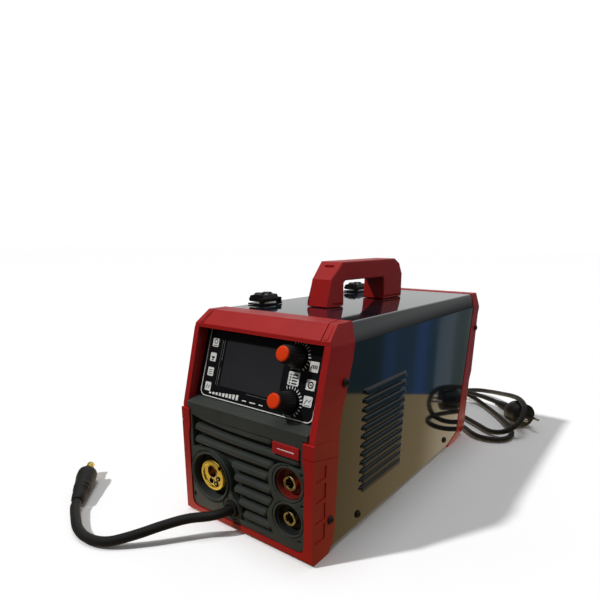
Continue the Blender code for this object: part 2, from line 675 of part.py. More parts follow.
# ---- rear ---------------------------------------------------------------------------------
def rear_panel():
    y = REAR_PANEL_Y
    outline = [(-0.0760, 0.0036), (0.0760, 0.0036), (0.0760, 0.1840), (0.0710, 0.2016),
               (-0.0710, 0.2016), (-0.0760, 0.1840)]
    panel = keep("rear_panel", outline_mesh(outline, y, y + REAR_PANEL, FRONT_VIEW), "black_steel")
    x, z = FAN
    boolean(panel, rod_mesh((x, y - 0.01, z), (x, y + 0.01, z), 0.0365, 32))
    x, z = SWITCH
    boolean(panel, box_mesh((x - 0.0070, y - 0.01, z - 0.0140), (x + 0.0070, y + 0.01, z + 0.0140)))
    for x, z, radius in ((*GAS, 0.0052), (*GLAND, 0.0083)):
        boolean(panel, rod_mesh((x, y - 0.01, z), (x, y + 0.01, z), radius, 16))


def power_switch():
    """A rocker in its frame. The rocker is drawn tilted, with its upper end out: off."""
    face = REAR_PANEL_Y + REAR_PANEL + GAP
    x, z = SWITCH
    frame = block("switch_frame", (x - 0.0090, face, z - 0.0160), (x + 0.0090, face + 0.0020, z + 0.0160),
                  "black_plastic")
    boolean(frame, box_mesh((x - 0.0067, face - 0.0140, z - 0.0137), (x + 0.0067, face + 0.0010, z + 0.0137)),
            "UNION")
    boolean(frame, box_mesh((x - 0.0056, face - 0.0100, z - 0.0124), (x + 0.0056, face + 0.0050, z + 0.0124)))
    pivot = (x, face - 0.0020, z)
    half = 0.0112
    outline = [
        (-0.0030, -half + 0.002), (0.0034, -half), (0.0014, 0.0), (0.0034, half), (-0.0030, half - 0.002),
    ]
    mesh = outline_mesh(outline, -0.0052, 0.0052, SIDE_VIEW)
    mesh.transform(Matrix.Translation(pivot) @ Matrix.Rotation(math.radians(-8), 4, "X"))
    keep("switch_rocker", mesh, "maroon_plastic", pivot)


def fan():
    x, z = FAN
    half = FAN_SIZE / 2
    back = REAR_PANEL_Y - GAP
    front = back - 0.0250
    frame = block("fan_frame", (x - half, front, z - half), (x + half, back, z + half), "black_plastic")
    boolean(frame, rod_mesh((x, front - 0.01, z), (x, back + 0.01, z), 0.0375, 32))
    boolean(frame, rod_mesh((x, front, z), (x, front + 0.0030, z), 0.0170, 20), "UNION")
    for turn in range(4):
        angle = math.radians(45 + 90 * turn)
        arm = box_mesh((0.0150, front, -0.0020), (0.0390, front + 0.0030, 0.0020))
        arm.transform(Matrix.Translation((x, 0, z)) @ Matrix.Rotation(angle, 4, "Y"))
        boolean(frame, arm, "UNION")
    hub = [(0.0, 0.0), (0.0160, 0.0), (0.0160, -0.0190), (0.0, -0.0190)]
    place = Matrix.Translation((x, back - 0.0010, z)) @ BACKWARD
    rotor = turned("fan_rotor", hub, "black_plastic", place, (x, back - 0.0105, z), steps=20)
    for blade in range(7):
        plate = box_mesh((0.0150, -0.0009, -0.0100), (0.0350, 0.0009, 0.0100))
        plate.transform(Matrix.Rotation(math.radians(50), 4, "X"))
        plate.transform(Matrix.Rotation(math.radians(blade * 360 / 7), 4, "Y"))
        plate.transform(Matrix.Translation((x, back - 0.0105, z)))
        boolean(rotor, plate, "UNION")
    face = REAR_PANEL_Y + REAR_PANEL + GAP
    guard = block("fan_guard", (x - 0.0340, face, z - 0.0380), (x + 0.0340, face + 0.0020, z + 0.0380),
                  "black_steel")
    for row in range(9):
        low = z - 0.0350 + row * 0.0079
        boolean(guard, box_mesh((x - 0.0310, face - 0.01, low), (x + 0.0310, face + 0.01, low + 0.0060)))


def gas_inlet():
    y = REAR_PANEL_Y
    place = Matrix.Translation((GAS[0], y, GAS[1])) @ BACKWARD
    profile = [
        (0.0, 0.0140), (0.0028, 0.0140), (0.0034, 0.0120), (0.0030, 0.0110), (0.0036, 0.0090),
        (0.0032, 0.0080), (0.0070, 0.0080), (0.0070, 0.0020), (0.0048, 0.0020), (0.0048, -0.0120),
        (0.0, -0.0120),
    ]
    turned("gas_inlet", profile, "brass", place, steps=16)


def mains():
    """Gland and strain relief, the cord, and the plug with its two pins."""
    x, z = GLAND
    face = REAR_PANEL_Y + REAR_PANEL + GAP
    place = Matrix.Translation((x, 0, z)) @ BACKWARD
    gland = [
        (0.0041, 0.4090), (0.0052, 0.4085), (0.0068, face + 0.0110), (0.0110, face + 0.0100),
        (0.0110, face), (0.0080, face), (0.0080, face - 0.0100), (0.0041, face - 0.0100),
    ]
    turned("mains_gland", gland, "black_plastic", place, steps=16, ring=True)
    cord("mains_cord", MAINS_ROUTE, CORD_R, 0.0180)


def mains_plug():
    """A round moulded plug lying on its side, with a tapered sleeve and two round pins."""
    place = end_place(MAINS_ROUTE)
    body = [
        (0.0, 0.0700), (0.0165, 0.0700), (PLUG_R, 0.0680), (PLUG_R, 0.0460), (0.0140, 0.0400),
        (0.0090, 0.0340), (0.0070, 0.0300), (0.0052, 2 * GAP), (0.0, 2 * GAP),
    ]
    plug = turned("mains_plug", body, "black_plastic", place)
    for side, shift in (("left", -0.0095), ("right", 0.0095)):
        seat = place @ Matrix.Translation((shift, 0, 0))
        hole = rod_mesh((0, 0, 0.0590), (0, 0, 0.0800), 0.0027, 12)
        hole.transform(seat)
        boolean(plug, hole)
        pin = [(0.0, 0.0890), (0.0016, 0.0886), (0.0024, 0.0870), (0.0024, 0.0594), (0.0, 0.0594)]
        turned(f"mains_plug_pin_{side}", pin, "steel", seat, steps=12)


# ---- wire feeder and spool ----------------------------------------------------------------
def wire_compartment():
    divider = block("divider", (-0.0045, 0.0480, 0.0060), (-0.0030, 0.3500, 0.1960), "steel")
    boolean(divider, rod_mesh((-0.02, ROLL_Y, 0.0330), (0.02, ROLL_Y, 0.0330), 0.0185, 20))
    drive_z = WIRE_LINE - DRIVE_R
    plate = block("feeder_plate", (-0.0130, 0.0700, 0.0120), (-0.0048, 0.1400, 0.0900), "aluminium")
    pivot = (0.1280, 0.0620)
    boolean(plate, rod_mesh((-0.02, ROLL_Y, drive_z), (0.0, ROLL_Y, drive_z), 0.0036, 12))
    boolean(plate, rod_mesh((-0.0125, *pivot), (-0.0330, *pivot), 0.0060, 14), "UNION")
    boolean(plate, rod_mesh((-0.0325, *pivot), (-0.0400, *pivot), 0.0022, 12), "UNION")
    stud = (0.0775, 0.0250)
    boolean(plate, rod_mesh((-0.0125, *stud), (-0.0300, *stud), 0.0050, 14), "UNION")
    boolean(plate, rod_mesh((-0.0295, *stud), (-0.0400, *stud), 0.0020, 12), "UNION")
    motor = [(0.0, 0.0620), (0.0170, 0.0620), (0.0180, 0.0600), (0.0180, 0.0), (0.0037, 0.0),
             (0.0037, 0.0100), (0.0, 0.0100)]
    turned("feeder_motor", motor, "black_steel",
           Matrix.Translation((-0.0026, ROLL_Y, drive_z)) @ SIDEWAYS)
    roll = [(0.0, -0.0480), (0.0150, -0.0480), (0.0150, -0.0450), (0.0146, -0.0440), (0.0150, -0.0430),
            (0.0150, -0.0400), (0.0060, -0.0400), (0.0060, -0.0134), (0.0030, -0.0134), (0.0030, 0.0060),
            (0.0, 0.0060)]
    turned("drive_roll", roll[::-1], "steel", Matrix.Translation((0, ROLL_Y, drive_z)) @ SIDEWAYS,
           (-0.0440, ROLL_Y, drive_z))
    pressure_z = WIRE_LINE + 0.0006 + PRESSURE_R
    arm = [(0.0810, 0.0560), (0.0880, 0.0520), (0.1150, 0.0540), (0.1330, 0.0570), (0.1340, 0.0670),
           (0.1150, 0.0690), (0.0900, 0.0700), (0.0810, 0.0680)]
    arm = keep("pressure_arm", outline_mesh(arm, -0.0385, -0.0334, SIDE_VIEW), "aluminium",
               (-0.0360, *pivot))
    boolean(arm, rod_mesh((-0.05, *pivot), (-0.02, *pivot), 0.0025, 12))
    boolean(arm, rod_mesh((-0.05, ROLL_Y, pressure_z), (-0.02, ROLL_Y, pressure_z), 0.0023, 12))
    press = [(0.0, -0.0480), (0.0110, -0.0480), (0.0110, -0.0400), (0.0040, -0.0400), (0.0040, -0.0388),
             (0.0020, -0.0388), (0.0020, -0.0325), (0.0, -0.0325)]
    turned("pressure_roll", press[::-1], "steel", Matrix.Translation((0, ROLL_Y, pressure_z)) @ SIDEWAYS,
           (-0.0440, ROLL_Y, pressure_z), steps=20)
    y, z = stud
    lever = turned("tension_lever", [(0.0, 0.0700), (0.0070, 0.0700), (0.0085, 0.0680), (0.0085, 0.0520),
                                     (0.0022, 0.0520), (0.0022, 0.0), (0.0, 0.0)],
                   "black_plastic", Matrix.Translation((-0.0350, y, z)), (-0.0350, y, z), steps=16)
    boolean(lever, rod_mesh((-0.0380, y, z), (-0.0320, y, z), 0.0042, 14), "UNION")
    boolean(lever, rod_mesh((-0.05, y, z), (-0.02, y, z), 0.0023, 12))


def spool():
    y, z = SPOOL
    place = Matrix.Translation((0, y, z)) @ SIDEWAYS
    spindle = [(0.0, -0.0670), (0.0070, -0.0670), (0.0070, -0.0080), (0.0200, -0.0080), (0.0200, -0.0048),
               (0.0, -0.0048)]
    turned("spool_spindle", spindle[::-1], "black_plastic", place, steps=20)
    reel = [(0.0500, -0.0640), (0.0500, -0.0620), (0.0440, -0.0620), (0.0440, -0.0250), (0.0500, -0.0250),
            (0.0500, -0.0230), (0.0078, -0.0230), (0.0078, -0.0640)]
    turned("wire_spool", reel[::-1], "wire_copper", place, (-0.0435, y, z), steps=32, ring=True)
    nut = [(0.0, -0.0740), (0.0130, -0.0740), (0.0150, -0.0720), (0.0150, -0.0673), (0.0, -0.0673)]
    turned("spool_nut", nut[::-1], "black_plastic", place, steps=12)


# ---- power electronics --------------------------------------------------------------------
def electronics():
    sink = block("heat_sink", (0.0080, 0.1550, 0.0060), (0.0680, 0.2450, 0.0480), "aluminium")
    for index in range(7):
        low = 0.0130 + index * 0.0080
        boolean(sink, box_mesh((low, 0.10, 0.0120), (low + 0.0045, 0.30, 0.10)))
    board = block("inverter_board", (0.0040, 0.0650, 0.0790), (0.0740, 0.3400, 0.0806), "board_green")
    for index in range(3):
        y = 0.1000 + index * 0.0380
        boolean(board, rod_mesh((0.0300, y, 0.0800), (0.0300, y, 0.1150), 0.0150, 16), "UNION")
    boolean(board, box_mesh((0.0200, 0.2250, 0.0800), (0.0600, 0.2700, 0.1100)), "UNION")
    block("transformer", (0.0100, 0.2600, 0.0060), (0.0640, 0.3200, 0.0560), "black_steel")


front_bezel()
rear_bezel()
front_plate()
control_panel()
for dial in DIAL_HEIGHTS:
    knob(dial)
torch_socket()
power_socket("positive", "maroon_plastic")
power_socket("negative", "black_plastic")
lead_grommet()
badge_plate()
polarity_lead()
cover()
side_screws()
wire_door()
base_tray()
for position in LATCHES:
    latch(position)
handle()
rear_panel()
power_switch()
fan()
gas_inlet()
mains()
mains_plug()
wire_compartment()
spool()
electronics()
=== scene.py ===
"""Looks of the MIG welding machine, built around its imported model.

Shapes are drawn in millimetres, with y counted back from the nose of the front bezel. piece() turns
them into metres and carries them to the machine's own frame.
"""

import json
import math

import bmesh
import bpy
from mathutils import Matrix, Vector

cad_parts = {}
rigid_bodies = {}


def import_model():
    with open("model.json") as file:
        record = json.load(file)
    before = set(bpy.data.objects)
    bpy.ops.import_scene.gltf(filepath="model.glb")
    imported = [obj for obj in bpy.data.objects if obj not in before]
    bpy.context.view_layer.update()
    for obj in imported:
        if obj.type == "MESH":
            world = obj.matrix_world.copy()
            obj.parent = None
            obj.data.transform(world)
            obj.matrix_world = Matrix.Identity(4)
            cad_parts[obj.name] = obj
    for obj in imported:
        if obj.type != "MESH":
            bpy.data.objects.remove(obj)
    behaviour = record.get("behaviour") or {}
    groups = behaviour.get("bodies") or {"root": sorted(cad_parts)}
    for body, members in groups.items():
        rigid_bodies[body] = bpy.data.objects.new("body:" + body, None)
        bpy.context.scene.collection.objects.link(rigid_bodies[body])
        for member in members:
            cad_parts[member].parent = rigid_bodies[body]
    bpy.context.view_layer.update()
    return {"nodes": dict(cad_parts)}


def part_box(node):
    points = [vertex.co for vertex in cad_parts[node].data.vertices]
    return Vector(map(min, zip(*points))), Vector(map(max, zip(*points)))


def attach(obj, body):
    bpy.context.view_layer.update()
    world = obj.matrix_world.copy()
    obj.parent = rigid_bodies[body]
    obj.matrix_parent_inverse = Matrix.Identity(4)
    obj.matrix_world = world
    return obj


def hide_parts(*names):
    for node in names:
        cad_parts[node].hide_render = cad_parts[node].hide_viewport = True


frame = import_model()
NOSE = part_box("front_bezel")[0].y
MM = 0.001
TO_ROW = Matrix.Translation((0, NOSE, 0)) @ Matrix.Scale(MM, 4)
FORWARD = Matrix.Rotation(math.radians(90), 4, "X")
BACKWARD = Matrix.Rotation(math.radians(-90), 4, "X")
SIDEWAYS = Matrix.Rotation(math.radians(90), 4, "Y")
TILT = math.radians(17.7)
PANEL_TURN = Matrix.Rotation(math.radians(90) - TILT, 4, "X")
PANEL = Matrix.Translation((0, 11.43, 116.85)) @ PANEL_TURN

# ---- camera -------------------------------------------------------------------------------
AZIMUTH, ELEVATION, ROLL = math.radians(36.81), math.radians(16.51), math.radians(0.53)
CAMERA_AT = (0.2778, -0.4855, 0.2668)
LENS, SHIFT = 28.508, 0.1417
back = Vector((math.sin(AZIMUTH) * math.cos(ELEVATION), -math.cos(AZIMUTH) * math.cos(ELEVATION),
               math.sin(ELEVATION)))
right = Vector((math.cos(AZIMUTH), math.sin(AZIMUTH), 0))
up = back.cross(right)
axes = (right * math.cos(ROLL) + up * math.sin(ROLL), up * math.cos(ROLL) - right * math.sin(ROLL), back)
camera = bpy.data.objects.new("camera", bpy.data.cameras.new("camera"))
camera.matrix_world = Matrix.Translation(CAMERA_AT) @ Matrix(axes).transposed().to_4x4()
camera.data.lens = LENS
camera.data.sensor_width = 36
camera.data.shift_y = SHIFT
camera.data.clip_start = 0.01
bpy.context.scene.collection.objects.link(camera)
bpy.context.scene.camera = camera
bpy.context.scene.view_settings.view_transform = "Standard"


# ---- materials ----------------------------------------------------------------------------
def nodes_of(name):
    made = bpy.data.materials.new(name)
    made.use_nodes = True
    tree = made.node_tree
    return made, tree, tree.nodes["Principled BSDF"]


def feed(tree, socket, value):
    """Puts a number, a colour or another node's output into a socket."""
    if isinstance(value, bpy.types.NodeSocket):
        tree.links.new(value, socket)
    elif socket.type == "RGBA":
        socket.default_value = (*value, 1)
    else:
        socket.default_value = value


def node(tree, kind, output, inputs, **settings):
    """Adds a node, feeds its inputs by name or number, and gives back one of its outputs."""
    made = tree.nodes.new(f"ShaderNode{kind}")
    for word, value in settings.items():
        setattr(made, word, value)
    for key, value in inputs.items():
        feed(tree, made.inputs[key], value)
    return made.outputs[output]


def noise(tree, place, scale, detail=3.0, roughness=0.5):
    return node(tree, "TexNoise", "Fac",
                {"Vector": place, "Scale": scale, "Detail": detail, "Roughness": roughness})


def ranged(tree, value, low, high, start=0.3, end=0.7, **settings):
    return node(tree, "MapRange", "Result", {
        "Value": value, "From Min": start, "From Max": end, "To Min": low, "To Max": high}, **settings)


def mixed(tree, factor, first, second):
    return node(tree, "Mix", "Result", {"Factor": factor, "A": first, "B": second}, data_type="RGBA")


def maths(tree, first, operation, second):
    return node(tree, "Math", "Value", {0: first, 1: second}, operation=operation)


def look(name, colour, shade, rough, metallic=0.0, grain=900, depth=0.02, mottle=60, coat=0.0,
         specks=None, ior=1.5, coat_rough=0.05, gloss=0.5):
    """A surface whose colour wanders between two shades, with uneven gloss and a fine grain."""
    made, tree, shader = nodes_of(name)
    place = node(tree, "TexCoord", "Object", {})
    base = mixed(tree, ranged(tree, noise(tree, place, mottle, 4), 0, 1), colour, shade)
    fine = noise(tree, place, grain, 2)
    if specks is not None:
        dust = ranged(tree, noise(tree, place, grain * 0.8, 1), 0, 1, 0.74, 0.80)
        base = mixed(tree, dust, base, specks)
    smear = noise(tree, place, mottle * 2.3, 5, 0.6)
    bump = node(tree, "Bump", "Normal", {"Strength": depth * 10, "Distance": 0.0002, "Height": fine})
    for word, value in (("Base Color", base), ("Roughness", ranged(tree, smear, *rough)), ("Normal", bump),
                        ("Metallic", metallic), ("IOR", ior), ("Specular IOR Level", gloss),
                        ("Coat Weight", coat), ("Coat Roughness", coat_rough)):
        feed(tree, shader.inputs[word], value)
    return made


LOOKS = {
    "red": look("red_moulding", (0.290, 0.0095, 0.0085), (0.255, 0.0075, 0.0075), (0.34, 0.46), grain=1300,
        depth=0.006, mottle=22, gloss=0.42),
    "dark": look("dark_moulding", (0.036, 0.041, 0.036), (0.026, 0.030, 0.027), (0.42, 0.58), grain=1400,
        depth=0.05, mottle=30),
    "black": look("black_moulding", (0.010, 0.010, 0.011), (0.015, 0.015, 0.016), (0.34, 0.48), grain=1600,
        mottle=40, gloss=0.3),
    "panel": look("panel_gloss_black", (0.0040, 0.0042, 0.0048), (0.0060, 0.0062, 0.0070), (0.10, 0.20),
        grain=2500, depth=0.004, mottle=20),
    "screen": look("screen_glass", (0.018, 0.018, 0.020), (0.023, 0.023, 0.025), (0.08, 0.16), grain=3000,
        depth=0.002, mottle=12, coat=0.4),
    "orange": look("orange_cap", (0.66, 0.040, 0.002), (0.56, 0.032, 0.002), (0.30, 0.42), grain=1500,
        depth=0.012, mottle=50),
    "paint": look("gloss_sheet_paint", (0.0030, 0.0080, 0.0140), (0.0045, 0.0105, 0.0175), (0.05, 0.09),
        grain=240, depth=0.0008, mottle=9, coat=0.6, specks=(0.012, 0.020, 0.028), ior=2.0,
        coat_rough=0.03),
    # the louvres share the cover's paint; this rougher copy is lighter in colour to paint in the light the
    # hoods catch
    "hood": look("louvre_paint_painted_light", (0.0075, 0.0180, 0.0270), (0.0110, 0.0240, 0.0340), (0.16, 0.26),
        grain=300, depth=0.003, mottle=30, coat=0.4),
    "zinc": look("zinc_steel", (0.46, 0.47, 0.48), (0.34, 0.35, 0.36), (0.28, 0.46), 1.0, grain=500,
        mottle=70),
    "steel": look("bright_steel", (0.62, 0.62, 0.61), (0.48, 0.48, 0.48), (0.16, 0.30), 1.0, depth=0.01,
        mottle=120),
    "black_steel": look("black_steel", (0.018, 0.018, 0.019), (0.034, 0.033, 0.032), (0.26, 0.42), 0.35,
        depth=0.03, mottle=80),
    "aluminium": look("cast_aluminium", (0.60, 0.61, 0.62), (0.46, 0.47, 0.48), (0.30, 0.48), 1.0,
        grain=700, depth=0.04, mottle=90),
    "brass": look("turned_brass", (0.97, 0.72, 0.13), (0.84, 0.60, 0.09), (0.14, 0.28), 1.0, depth=0.01,
        mottle=110),
    "pale_brass": look("plated_brass", (0.98, 0.86, 0.42), (0.92, 0.76, 0.32), (0.14, 0.26), 1.0,
        depth=0.008, mottle=110),
    "rubber": look("cord_rubber", (0.0085, 0.0083, 0.0080), (0.0130, 0.0125, 0.0120), (0.46, 0.60),
        grain=1100, depth=0.04, mottle=50, gloss=0.3),
    "maroon": look("maroon_shell", (0.130, 0.010, 0.007), (0.095, 0.007, 0.006), (0.22, 0.34), grain=1500,
        depth=0.010),
    "badge": look("badge_red", (0.330, 0.010, 0.012), (0.250, 0.008, 0.010), (0.20, 0.32), grain=1500,
        depth=0.008, coat=0.3),
    "board": look("circuit_board", (0.010, 0.120, 0.045), (0.008, 0.075, 0.030), (0.30, 0.50), grain=500,
        depth=0.03, mottle=220),
    "copper": look("welding_wire", (0.72, 0.33, 0.17), (0.55, 0.22, 0.10), (0.18, 0.32), 1.0, mottle=200),
    "print": look("white_print", (0.66, 0.66, 0.63), (0.52, 0.52, 0.50), (0.40, 0.55), grain=1800,
        depth=0.01, mottle=160),
    # this look colours two thin lines under the dials and four painted reflections of edges beside the
    # screen
    "grey_lines_painted_reflection_look": look("grey_lines_painted_reflection_look", (0.20, 0.20, 0.20), (0.12, 0.12, 0.12), (0.40, 0.55), grain=1800,
        depth=0.01, mottle=160),
    "hose": look("gas_hose", (0.020, 0.030, 0.050), (0.030, 0.042, 0.065), (0.30, 0.45)),
}


# ---- shapes -------------------------------------------------------------------------------
def mesh_of(work):
    bmesh.ops.recalc_face_normals(work, faces=work.faces)
    made = bpy.data.meshes.new("shape")
    work.to_mesh(made)
    work.free()
    return made


def moved(mesh, place):
    mesh.transform(place)
    return mesh


def rounded(points, radius=0.0, steps=5):
    """A closed outline with its corners rounded. A point may carry its own radius."""
    out = []
    for index, point in enumerate(points):
        here = Vector(point[:2])
        before = Vector(points[index - 1][:2]) - here
        after = Vector(points[(index + 1) % len(points)][:2]) - here
        size = point[2] if len(point) > 2 else radius
        angle = before.angle(after)
        if size <= 0 or angle > math.radians(177):
            out.append(tuple(here))
            continue
        cut = min(size / math.tan(angle / 2), before.length * 0.49, after.length * 0.49)
        size = cut * math.tan(angle / 2)
        before.normalize()
        after.normalize()
        centre = here + (before + after).normalized() * size / math.sin(angle / 2)
        start = here + before * cut - centre
        first = math.atan2(start.y, start.x)
        end = here + after * cut - centre
        turn = (math.atan2(end.y, end.x) - first + math.pi) % (2 * math.pi) - math.pi
        for step in range(steps + 1):
            a = first + turn * step / steps
            out.append((centre.x + size * math.cos(a), centre.y + size * math.sin(a)))
    return out


def rectangle(x0, y0, x1, y1, radius=0.0, steps=4):
    return rounded([(x0, y0), (x1, y0), (x1, y1), (x0, y1)], radius, steps)


VIEWS = {
    "side": lambda u, v, w: (w, u, v),
    "front": lambda u, v, w: (u, w, v),
    "top": lambda u, v, w: (u, v, w),
}


def skinned(rings):
    """A closed solid through rings with equally many points."""
    work = bmesh.new()
    rings = [[work.verts.new(point) for point in ring] for ring in rings]
    work.faces.new(rings[0])
    work.faces.new(rings[-1])
    for lower, upper in zip(rings, rings[1:]):
        for index in range(len(lower)):
            work.faces.new((lower[index - 1], lower[index], upper[index], upper[index - 1]))
    return mesh_of(work)


def layers(outlines, view):
    """A closed solid through equal-length outlines, each with its own place across the view."""
    place = VIEWS[view]
    return skinned([[place(u, v, w) for u, v in outline] for outline, w in outlines])


def prism(outline, low, high, view="top"):
    return layers([(outline, low), (outline, high)], view)


def box(low, high):
    (x0, y0, z0), (x1, y1, z1) = low, high
    return prism(rectangle(x0, y0, x1, y1), z0, z1)


def lathe(profile, place, steps=48, ring=False, flutes=0, flute_depth=0.0):
    work = bmesh.new()
    rows = []
    for radius, height in profile:
        if radius < 1e-6:
            rows.append([work.verts.new((0, 0, height))])
            continue
        row = []
        for step in range(steps):
            a = 2 * math.pi * step / steps
            r = radius - (flute_depth * (0.5 - 0.5 * math.cos(a * flutes)) if flutes else 0.0)
            row.append(work.verts.new((r * math.cos(a), r * math.sin(a), height)))
        rows.append(row)
    pairs = list(zip(rows, rows[1:]))
    if ring:
        pairs.append((rows[-1], rows[0]))
    for lower, upper in pairs:
        for step in range(steps):
            other = (step + 1) % steps
            corners = [lower[step % len(lower)], lower[other % len(lower)],
                       upper[other % len(upper)], upper[step % len(upper)]]
            corners = list(dict.fromkeys(corners))
            if len(corners) > 2:
                work.faces.new(corners)
    return moved(mesh_of(work), place)


def along(start, end):
    start = Vector(start)
    run = Vector(end) - start
    return Matrix.Translation(start) @ run.to_track_quat("Z", "Y").to_matrix().to_4x4(), run.length


def rod(start, end, radius, steps=24, end_radius=None):
    place, length = along(start, end)
    far = radius if end_radius is None else end_radius
    return lathe([(0, 0), (radius, 0), (far, length), (0, length)], place, steps)


def tube(points, radius, sides=12):
    """A closed tube along a smooth path."""
    path = smooth_route(points, radius * 1.6)
    rings = []
    normal = None
    for index, here in enumerate(path):
        run = (path[min(index + 1, len(path) - 1)] - path[max(index - 1, 0)]).normalized()
        if normal is None:
            normal = run.orthogonal().normalized()
        normal = (normal - run * normal.dot(run)).normalized()
        other = run.cross(normal)
        rings.append([
            here + radius * (normal * math.cos(a) + other * math.sin(a))
            for a in (2 * math.pi * side / sides for side in range(sides))
        ])
    return skinned(rings)


def joined(meshes):
    work = bmesh.new()
    for mesh in meshes:
        work.from_mesh(mesh)
    made = bpy.data.meshes.new("shape")
    work.to_mesh(made)
    work.free()
    return made


def carved(mesh, *tools, operation="DIFFERENCE"):
    """Cuts tools from a solid one after another, or joins them on."""
    for tool in tools:
        first = bpy.data.objects.new("first", mesh)
        second = bpy.data.objects.new("second", tool)
        for made in (first, second):
            bpy.context.scene.collection.objects.link(made)
        step = first.modifiers.new("step", "BOOLEAN")
        step.solver = "MANIFOLD"
        step.operation = operation
        step.object = second
        bpy.context.view_layer.update()
        mesh = bpy.data.meshes.new_from_object(first.evaluated_get(bpy.context.evaluated_depsgraph_get()))
        for made in (first, second):
            bpy.data.objects.remove(made)
    return mesh


def beveled(mesh, width, segments=3, angle=35):
    """Rounds a solid's sharp edges straight away, so that later cuts stay crisp."""
    work = bmesh.new()
    work.from_mesh(mesh)
    bmesh.ops.remove_doubles(work, verts=work.verts, dist=0.002)
    bmesh.ops.triangulate(work, faces=[face for face in work.faces if len(face.verts) > 4])
    edges = [edge for edge in work.edges
             if edge.is_manifold and edge.calc_face_angle(0) > math.radians(angle)]
    bmesh.ops.bevel(work, geom=edges, offset=width, offset_type="OFFSET", segments=segments, profile=0.5,
                    affect="EDGES", clamp_overlap=True)
    made = bpy.data.meshes.new("shape")
    work.to_mesh(made)
    work.free()
    return made


def smooth_route(points, step):
    """Points about a step apart along a smooth curve through a cord's chosen points."""
    route = [Vector(point) for point in points]
    route = [2 * route[0] - route[1]] + route + [2 * route[-1] - route[-2]]
    dense = []
    for before, first, second, after in zip(route, route[1:], route[2:], route[3:]):
        for index in range(24):
            t = index / 24
            dense.append(0.5 * (
                2 * first + (second - before) * t
                + (2 * before - 5 * first + 4 * second - after) * t ** 2
                + (3 * first - before - 3 * second + after) * t ** 3
            ))
    dense.append(route[-2])
    length = sum((b - a).length for a, b in zip(dense, dense[1:]))
    spacing = length / max(2, round(length / step))
    even = [dense[0]]
    travelled = 0.0
    for a, b in zip(dense, dense[1:]):
        travelled += (b - a).length
        if travelled >= spacing * len(even) - 1e-6 and len(even) * spacing < length - spacing / 2:
            even.append(b)
    even.append(dense[-1])
    return even


def flattened(made):
    flat = made.modifiers.new("flats", "WEIGHTED_NORMAL")
    flat.keep_sharp = True


def edged(made, width, segments=2, angle=35):
    """Rounds a piece's sharp edges and keeps its flats flat."""
    edge = made.modifiers.new("edges", "BEVEL")
    edge.width = width * MM
    edge.segments = segments
    edge.limit_method = "ANGLE"
    edge.angle_limit = math.radians(angle)
    edge.use_clamp_overlap = False
    flattened(made)


def piece(name, mesh, finish, body="chassis", replaces=(), edge=0.0, segments=2, sharp=38,
          clean=True):
    mesh.transform(TO_ROW)
    work = bmesh.new()
    work.from_mesh(mesh)
    if clean:
        bmesh.ops.remove_doubles(work, verts=work.verts, dist=2e-6)
        bmesh.ops.recalc_face_normals(work, faces=work.faces)
        bmesh.ops.triangulate(work, faces=[face for face in work.faces if len(face.verts) > 4])
    work.to_mesh(mesh)
    work.free()
    mesh.materials.clear()
    mesh.materials.append(LOOKS[finish])
    mesh.shade_smooth()
    mesh.set_sharp_from_angle(angle=math.radians(sharp))
    made = bpy.data.objects.new(name, mesh)
    bpy.context.scene.collection.objects.link(made)
    if edge:
        edged(made, edge, segments)
    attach(made, body)
    if replaces:
        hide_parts(*replaces)
    return made


# ---- cords --------------------------------------------------------------------------------
LEAD_ROUTE = [
    (-0.0160, 0.0120, 0.0226), (-0.0160, -0.0060, 0.0226), (-0.0225, -0.0195, 0.0222),
    (-0.0385, -0.0350, 0.0206), (-0.0518, -0.0530, 0.0172), (-0.0660, -0.0712, 0.0118),
    (-0.0815, -0.0865, 0.0068), (-0.0950, -0.0937, 0.0051), (-0.1110, -0.0962, 0.0050),
    (-0.1290, -0.0930, 0.0054), (-0.1460, -0.0855, 0.0062), (-0.1620, -0.0772, 0.0072),
    (-0.1700, -0.0705, 0.0077),
]
MAINS_ROUTE = [
    (0.0400, 0.4090, 0.0350), (0.0400, 0.4270, 0.0345), (0.0375, 0.4500, 0.0270),
    (0.0260, 0.4840, 0.0125), (0.0090, 0.5240, 0.0046), (0.0010, 0.5560, 0.0045),
    (0.0090, 0.5840, 0.0050), (0.0340, 0.5960, 0.0080), (0.0620, 0.5810, 0.0140),
    (0.0900, 0.5430, 0.0250), (0.1150, 0.5030, 0.0360), (0.1340, 0.4670, 0.0430),
    (0.1470, 0.4400, 0.0400), (0.1470, 0.4190, 0.0250), (0.1330, 0.4060, 0.0110),
    (0.1120, 0.4070, 0.0050), (0.0860, 0.4260, 0.0044), (0.0550, 0.4480, 0.0044),
    (0.0140, 0.4660, 0.0044), (-0.0170, 0.4920, 0.0052), (-0.0160, 0.5260, 0.0095),
    (0.0090, 0.5490, 0.0135), (0.0400, 0.5480, 0.0080), (0.0670, 0.5260, 0.0046),
    (0.0910, 0.4980, 0.0044), (0.1165, 0.4630, 0.0044), (0.1350, 0.4310, 0.0044),
    (0.1400, 0.4050, 0.0044), (0.1320, 0.3860, 0.0044), (0.1140, 0.3770, 0.0044),
    (0.0950, 0.3820, 0.0044), (0.0660, 0.4080, 0.0044), (0.0180, 0.4360, 0.0044),
    (-0.0240, 0.4580, 0.0046), (-0.0430, 0.4880, 0.0070), (-0.0360, 0.5180, 0.0140),
    (-0.0080, 0.5370, 0.0205), (0.0460, 0.5400, 0.0165), (0.0820, 0.5190, 0.0180),
    (0.0920, 0.5102, 0.0182),
]


